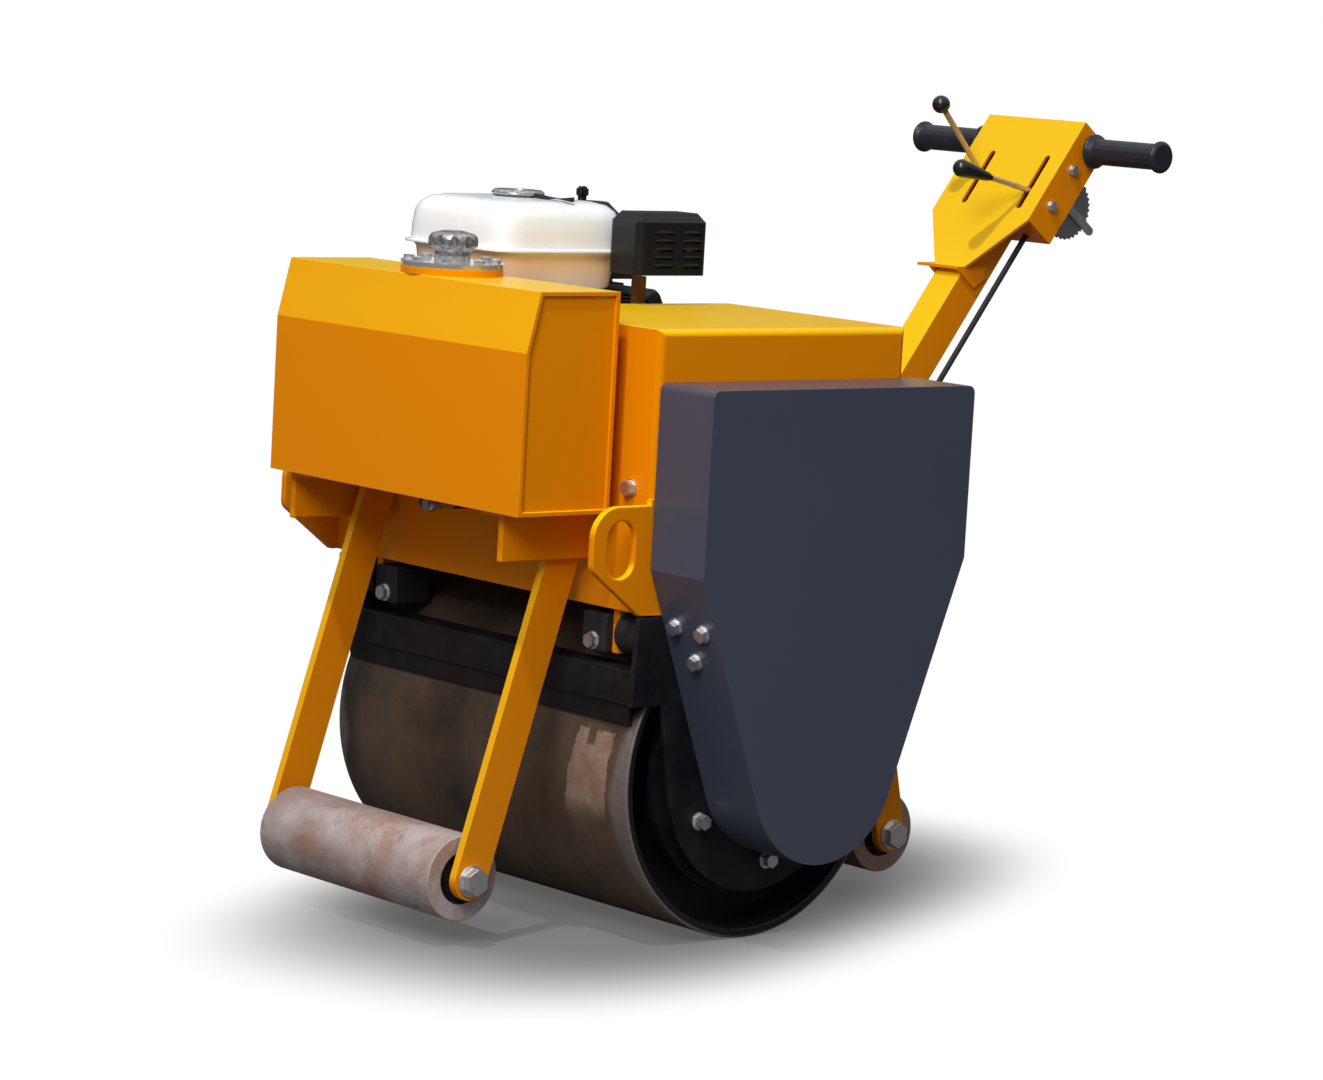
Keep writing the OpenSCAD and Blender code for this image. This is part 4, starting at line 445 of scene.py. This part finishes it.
# Inside its bore the tube is painted near black: painted shade in the hollow.
shaded_bore = rust.spread(from_front.least(from_rear) + spots * 0.002,
                   tube_bore - 0.4 * mm, tube_bore + 0.6 * mm, 1.0, 0.0)
rust.give("Base Color", rust.blend(shaded_bore, brown, (0.010, 0.009, 0.009)))
rust.give("Roughness", 0.46 + spots * 0.34)
rust.relief(spots + flow, 0.0006)
eased("front_roller", "front_support_roller", rust, 2.0 * mm, 3, 40)
eased("rear_roller", "rear_support_roller", rust, 2.0 * mm, 3, 40)
zinc = Finish("zinc_plate", metallic=1.0)
milky = zinc.grain(130.0, 6.0, 0.6)
zinc.give("Base Color", zinc.blend(milky, (0.58, 0.585, 0.59), (0.86, 0.865, 0.87)))
zinc.give("Roughness", 0.30 + milky * 0.28)
zinc.relief(milky, 0.0001)
eased("roller_axles", "roller_axle_bolts", zinc, 1.0 * mm, 2, 40)
eased("hex_bolts", "frame_bolts", zinc, 0.7 * mm, 2, 40)

# Drum carriers: dark plates that hang in black rubber, tied by angle bars that hold the
# scraper blades. Their bearing housings are cast iron, bored just wide enough for the facets
# of the round trunnions to turn clear.
for node in ("carrier_left", "carrier_right"):
    eased(node, "drum_" + node, hub_black, 1.2 * mm)
eased("carrier_ties", "drum_carrier_ties", hub_black, 2.0 * mm)
eased("scrapers", "scraper_blades", hub_black, 0.6 * mm, 2)
rubber = Finish("black_rubber", specular_ior_level=0.35)
bloom = rubber.grain(70.0, 6.0, 0.6)
rubber.give("Base Color", rubber.blend(bloom, (0.008, 0.009, 0.011), (0.020, 0.021, 0.025)))
rubber.give("Roughness", 0.55 + bloom * 0.3)
rubber.relief(rubber.grain(500.0, 3.0) + bloom, 0.0001)
eased("rubber_mounts", "rubber_buffers", rubber, 2.0 * mm, 3, 40)
cast = Finish("cast_iron_grey", metallic=0.6)
sand = cast.grain(260.0, 6.0, 0.65)
cast.give("Base Color", cast.blend(cast.grain(12.0, 5.0), (0.10, 0.10, 0.105), (0.20, 0.195, 0.19)))
cast.give("Roughness", 0.42 + sand * 0.3)
cast.relief(sand, 0.0003)
housings = eased("bearing_housings", "bearing_blocks", cast, 1.2 * mm, 2, 40)
bore_radius, bore_easing = 42.2 * mm, 1.004
for corner in housings.data.vertices:
    from_axis, over_axis = corner.co.y, corner.co.z - drum_z
    if math.hypot(from_axis, over_axis) < bore_radius:
        corner.co.y, corner.co.z = from_axis * bore_easing, drum_z + over_axis * bore_easing
eased("gearbox", "gearbox_case", cast, 1.5 * mm, 2, 40)

# Drive: turned shafts, chain wheels and pulleys, the chain and the rubber V-belts. They
# show only from underneath and through the openings of the casings.
turned = Finish("turned_steel", metallic=1.0)
rings = turned.grain(20.0, 5.0, 0.6, (8, 1, 1))
turned.give("Base Color", turned.blend(rings, (0.30, 0.30, 0.30), (0.50, 0.49, 0.47)))
turned.give("Roughness", 0.24 + rings * 0.3)
turned.relief(turned.grain(600.0, 2.0, 0.5, (6, 1, 1)), 0.00005)
for node in ("drum_sprocket", "exciter_shaft", "exciter_pulley", "line_shaft", "crankshaft",
             "drive_chain", "gearbox_output", "gearbox_input", "idler_arm", "shift_lever"):
    dress(node, turned)
for node in ("drive_belts", "vibration_belt"):
    dress(node, rubber)

# Water line: a plated valve under the tank with its red dipped lever, a black hose pushed on
# it, and the galvanised spray pipe that wets the drum.
eased("water_valve", "tank_outlet_valve", cast_cap, 0.8 * mm, 2, 40)
red = Finish("red_dip", roughness=0.35)
red.give("Base Color", red.blend(red.grain(30.0), (0.42, 0.02, 0.015), (0.33, 0.015, 0.012)))
red.relief(red.grain(300.0, 3.0), 0.0001)
eased("valve_lever", "valve_handle_lever", red, 1.2 * mm, 3)
dress("water_hose", rubber)
eased("spray_pipe", "water_spray_pipe", zinc, 0.6 * mm, 2, 40)

# Engine: bare die-cast crankcase, black finned cylinder, a recoil starter under a red steel
# cover, a black muffler guard, a black air cleaner and a white fuel tank above it all.
alloy = Finish("die_cast_alloy")
skin = alloy.grain(220.0, 6.0, 0.6)
cylinder_y = 80.4 * mm
painted = alloy.spread(alloy.axis("Y"), cylinder_y, cylinder_y + 0.6 * mm)
bare_alloy = alloy.blend(alloy.grain(16.0, 6.0), (0.36, 0.36, 0.355), (0.55, 0.55, 0.54))
cylinder_black = alloy.blend(skin, (0.010, 0.010, 0.011), (0.024, 0.024, 0.026))
alloy.give("Base Color", alloy.blend(painted, bare_alloy, cylinder_black))
alloy.give("Metallic", 0.85 - painted * 0.85)
alloy.give("Roughness", 0.36 + skin * 0.26)
alloy.relief(skin, 0.00025)
eased("engine_block", "engine_crankcase", alloy, 1.0 * mm, 2, 40)
eased("carburettor", "engine_carburettor", alloy, 1.2 * mm, 2, 40)
eased("recoil_starter", "starter_cover", red, 1.4 * mm, 3, 40)
black_plastic = Finish("black_moulding", specular_ior_level=0.35)
leather = black_plastic.grain(340.0, 5.0, 0.6)
black_plastic.give("Base Color", black_plastic.blend(
    leather, (0.004, 0.004, 0.0045), (0.012, 0.012, 0.013)))
black_plastic.give("Roughness", 0.34 + leather * 0.3)
black_plastic.relief(leather, 0.0002)
eased("starter_grip", "starter_pull_grip", black_plastic, 1.5 * mm, 3)
eased("air_cleaner", "air_cleaner_case", black_plastic, 2.5 * mm, 3, 40)
shield = Finish("stove_black", specular_ior_level=0.3)
hole_pitch = 5.5 * mm
# On its upward faces the guard is dotted with near-black holes: painted shade that stands for the
# perforations, with a small dent under each.
holes = shield.axis("X").wave(hole_pitch) * shield.axis("Y").wave(hole_pitch)
shaded_hole_dots = shield.spread(holes, 0.42, 0.55)
lid = shield.spread(shield.facing("Z"), 0.5, 0.7)
glaze = shield.grain(260.0, 6.0, 0.6)
stove_paint = shield.blend(glaze, (0.005, 0.006, 0.008), (0.011, 0.0125, 0.0155))
shield.give("Base Color", shield.blend(shaded_hole_dots * lid, stove_paint, (0.0005, 0.0005, 0.0005)))
shield.give("Roughness", 0.22 + glaze * 0.24)
shield.relief(glaze * 0.15 - shaded_hole_dots * lid, 0.0008)
eased("muffler_guard", "muffler_shield", shield, 0.8 * mm, 2, 40)
scorched = Finish("scorched_steel", metallic=0.4)
heat = scorched.grain(30.0, 7.0, 0.65)
scorched.give("Base Color", scorched.blend(heat, (0.17, 0.065, 0.018), (0.34, 0.15, 0.05)))
scorched.give("Roughness", 0.45 + heat * 0.3)
scorched.relief(heat, 0.0003)
dress("muffler", scorched)
milk = Finish("white_tank_plastic", roughness=0.25, coat_weight=0.4, coat_roughness=0.08)
yellowing = milk.grain(5.0, 5.0)
tank_foot, seam_z = 795 * mm, 842 * mm
# Below its seam the white tank is tinted tan to orange, more so near the seam: a painted reflection of
# the amber paint under it.
below = milk.spread(milk.axis("Z") + milk.grain(6.0, 3.0) * 0.006,
                    seam_z - 4 * mm, seam_z + 4 * mm, 1.0, 0.0)
amber_reflection_tint = milk.blend(milk.spread(milk.axis("Z"), tank_foot, seam_z), (0.86, 0.68, 0.55), (1.0, 0.58, 0.22))
white_plastic = milk.blend(yellowing, (0.91, 0.94, 0.96), (0.88, 0.90, 0.91))
milk.give("Base Color", milk.blend(below * 0.66, white_plastic, amber_reflection_tint))
milk.give("Roughness", 0.22 + milk.grain(30.0, 5.0) * 0.14)
milk.relief(milk.grain(60.0, 3.0), 0.00008)
eased("fuel_tank", "engine_fuel_tank", milk, 0.8 * mm, 2, 48)

# Guard's louvres: each slot of the muffler guard is pressed out of its black sheet into a
# little awning, in two columns of five.
low_corner, high_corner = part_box("muffler_guard")
guard_long, guard_high, lip = 120 * mm, 70 * mm, 0.3 * mm
awning_size = (3.0 * mm, 17.2 * mm, 5.0 * mm)
bpy.ops.object.select_all(action="DESELECT")
bpy.ops.mesh.primitive_uv_sphere_add(segments=20, ring_count=10, radius=1, scale=awning_size)
awning = bpy.context.object
bpy.ops.object.transform_apply(location=False, rotation=False, scale=True)
bpy.ops.object.mode_set(mode="EDIT")
bpy.ops.mesh.select_all(action="SELECT")
bpy.ops.mesh.bisect(plane_co=(0, 0, 1.2 * mm), plane_no=(0, 0, 1), clear_inner=True, use_fill=True)
bpy.ops.object.mode_set(mode="OBJECT")
awnings = []
for column in range(2):
    for row in range(5):
        one = awning.copy()
        one.data = awning.data.copy()
        scene.collection.objects.link(one)
        one.location = (high_corner[0] - lip, low_corner[1] + guard_long * (0.36 + 0.40 * column),
                        low_corner[2] + guard_high * (0.16 + 0.155 * row) + lip)
        awnings.append(one)
bpy.data.objects.remove(awning)
alone(*awnings)
bpy.ops.object.join()
finished(bpy.context.object, "guard_louvres", shield, "muffler_guard", 50)

# Cap's strap: a short black rubber band from under the fuel cap to a stud on the tank, which
# keeps the cap from being lost. It lies in a shallow bow.
cap_low, cap_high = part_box("fuel_cap")
strap_size = (62 * mm, 7 * mm, 2.2 * mm)
beyond_cap, behind_cap, strap_lift = 22 * mm, 12 * mm, 0.5 * mm
bpy.ops.object.select_all(action="DESELECT")
bpy.ops.mesh.primitive_cube_add(size=1, scale=strap_size)
strap = bpy.context.object
bpy.ops.object.transform_apply(location=False, rotation=False, scale=True)
bpy.ops.object.mode_set(mode="EDIT")
bpy.ops.mesh.select_all(action="SELECT")
bpy.ops.mesh.subdivide(number_cuts=9)
bpy.ops.object.mode_set(mode="OBJECT")
bow = strap.modifiers.new("bow", "SIMPLE_DEFORM")
bow.deform_method = "BEND"
bow.deform_axis = "Y"
bow.angle = math.radians(16)
strap.rotation_euler = (0, 0, math.radians(24))
strap.location = (cap_high[0] + beyond_cap, (cap_low[1] + cap_high[1]) / 2 + behind_cap,
                  cap_low[2] + strap_lift)
rounded(strap, 0.6 * mm, 2)
finished(strap, "fuel_cap_strap", rubber, "fuel_tank", 50)

# Air cleaner's wing nut: a black moulding with two wings, screwed down on the stud that comes
# through the lid.
top_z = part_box("air_cleaner")[1][2]
stud = [v.co for v in frame["nodes"]["air_cleaner"].data.vertices if v.co.z > top_z - 1 * mm]
stud_top = sum(stud, Vector()) / len(stud)
nut_radius, nut_height, nut_drop = 8.5 * mm, 10 * mm, 7.5 * mm
wing_size, wing_reach, wing_drop = (19 * mm, 3 * mm, 10 * mm), 9.5 * mm, 5 * mm
bpy.ops.object.select_all(action="DESELECT")
bpy.ops.mesh.primitive_cylinder_add(vertices=24, radius=nut_radius, depth=nut_height,
                                    location=stud_top - Vector((0, 0, nut_drop)))
nut = bpy.context.object
wings = []
for side in (-1, 1):
    bpy.ops.mesh.primitive_cube_add(
        size=1, location=stud_top + Vector((wing_reach * side, -wing_reach * side, -wing_drop)),
        scale=wing_size, rotation=(0, 0, math.radians(-45)))
    wings.append(bpy.context.object)
alone(nut, *wings)
bpy.ops.object.join()
rounded(nut, 1.2 * mm, 2)
finished(nut, "air_cleaner_wing_nut", black_plastic, "air_cleaner", 40)

# Handlebar and console fittings: a plated tube with black grips, the throttle quadrant, the
# two levers through their slots, and the cable down to the hood.
dress("handlebar", zinc)
grip_rubber = Finish("ribbed_grip_rubber", specular_ior_level=0.4)
wear = grip_rubber.grain(60.0, 6.0, 0.6)
rib_pitch = 6.8 * mm
around_grip = grip_rubber.spread(grip_rubber.facing("X").size(), 0.1, 0.4, 1.0, 0.0)
ribs = (grip_rubber.axis("Z") + grip_rubber.axis("Y") * 0.5).wave(rib_pitch) * around_grip
grip_rubber.give("Base Color", grip_rubber.blend(wear, (0.010, 0.012, 0.017), (0.024, 0.027, 0.036)))
grip_rubber.give("Roughness", 0.26 + wear * 0.22)
grip_rubber.relief(ribs + wear * 0.8, 0.00022)
eased("grips", "hand_grips", grip_rubber, 1.0 * mm, 3, 40)
grey = Finish("grey_quadrant_paint", metallic=0.4)
grey.give("Base Color", grey.blend(grey.grain(24.0, 6.0), (0.20, 0.21, 0.22), (0.34, 0.35, 0.36)))
grey.give("Roughness", 0.36 + grey.grain(90.0, 5.0) * 0.24)
grey.relief(grey.grain(200.0, 3.0), 0.0001)
eased("throttle_quadrant", "throttle_arc", grey, 0.5 * mm, 2, 40)
eased("throttle_lever", "throttle_handle", zinc, 0.6 * mm, 2, 40)
knob_radius = 12.5 * mm
for node, name, held_length in (("travel_lever", "travel_stick", 13.3 * mm),
                                ("vibration_lever", "vibration_stick", 52 * mm)):
    tip = min((v.co for v in frame["nodes"][node].data.vertices), key=lambda c: c.y)
    stick = Finish(name + "_finish")
    polish = stick.grain(90.0, 6.0, 0.6)
    from_tip = (stick.axis("Y") - (tip.y + knob_radius)).span(stick.axis("Z") - tip.z)
    held = stick.spread(from_tip, held_length, held_length + 0.4 * mm, 1.0, 0.0)
    rod_brass = stick.blend(polish, (0.52, 0.37, 0.19), (0.68, 0.54, 0.34))
    stick.give("Base Color", stick.blend(held, rod_brass, (0.010, 0.010, 0.012)))
    stick.give("Metallic", 0.6 - held * 0.6)
    stick.give("Roughness", 0.34 - held * 0.12 + polish * 0.1)
    stick.relief(polish, 0.00005)
    eased(node, name, stick, 0.3 * mm, 1, 50)
dress("control_cable", rubber)

# Console's inner cover: a thin painted sheet behind the lever pivots, with a folded lip, that
# keeps water off the cable ends. It is screwed to the console's far side wall.
lean = math.radians(36.6)
plate_x, plate_y, plate_z = -23 * mm, 737 * mm, 1044 * mm
inward, down, cover_wide, cover_high = 47 * mm, 85 * mm, 136 * mm, 130 * mm
fold, fold_rise = 4 * mm, 2.5 * mm
bpy.ops.object.select_all(action="DESELECT")
bpy.ops.mesh.primitive_plane_add(size=1)
inner = bpy.context.object
inner.scale = (cover_wide, cover_high, 1)
inner.rotation_euler = (math.radians(90) - lean, 0, 0)
inner.location = (plate_x, plate_y + inward * math.cos(lean) - down * math.sin(lean),
                  plate_z - inward * math.sin(lean) - down * math.cos(lean))
bpy.ops.object.transform_apply(location=True, rotation=True, scale=True)
bpy.ops.object.mode_set(mode="EDIT")
bpy.ops.mesh.select_all(action="SELECT")
bpy.ops.mesh.inset(thickness=fold)
bpy.ops.transform.translate(value=(0, fold_rise * math.cos(lean), -fold_rise * math.sin(lean)))
bpy.ops.object.mode_set(mode="OBJECT")
wall = inner.modifiers.new("wall", "SOLIDIFY")
wall.thickness = 1.2 * mm
finished(inner, "console_inner_cover", amber, "control_head", 40)
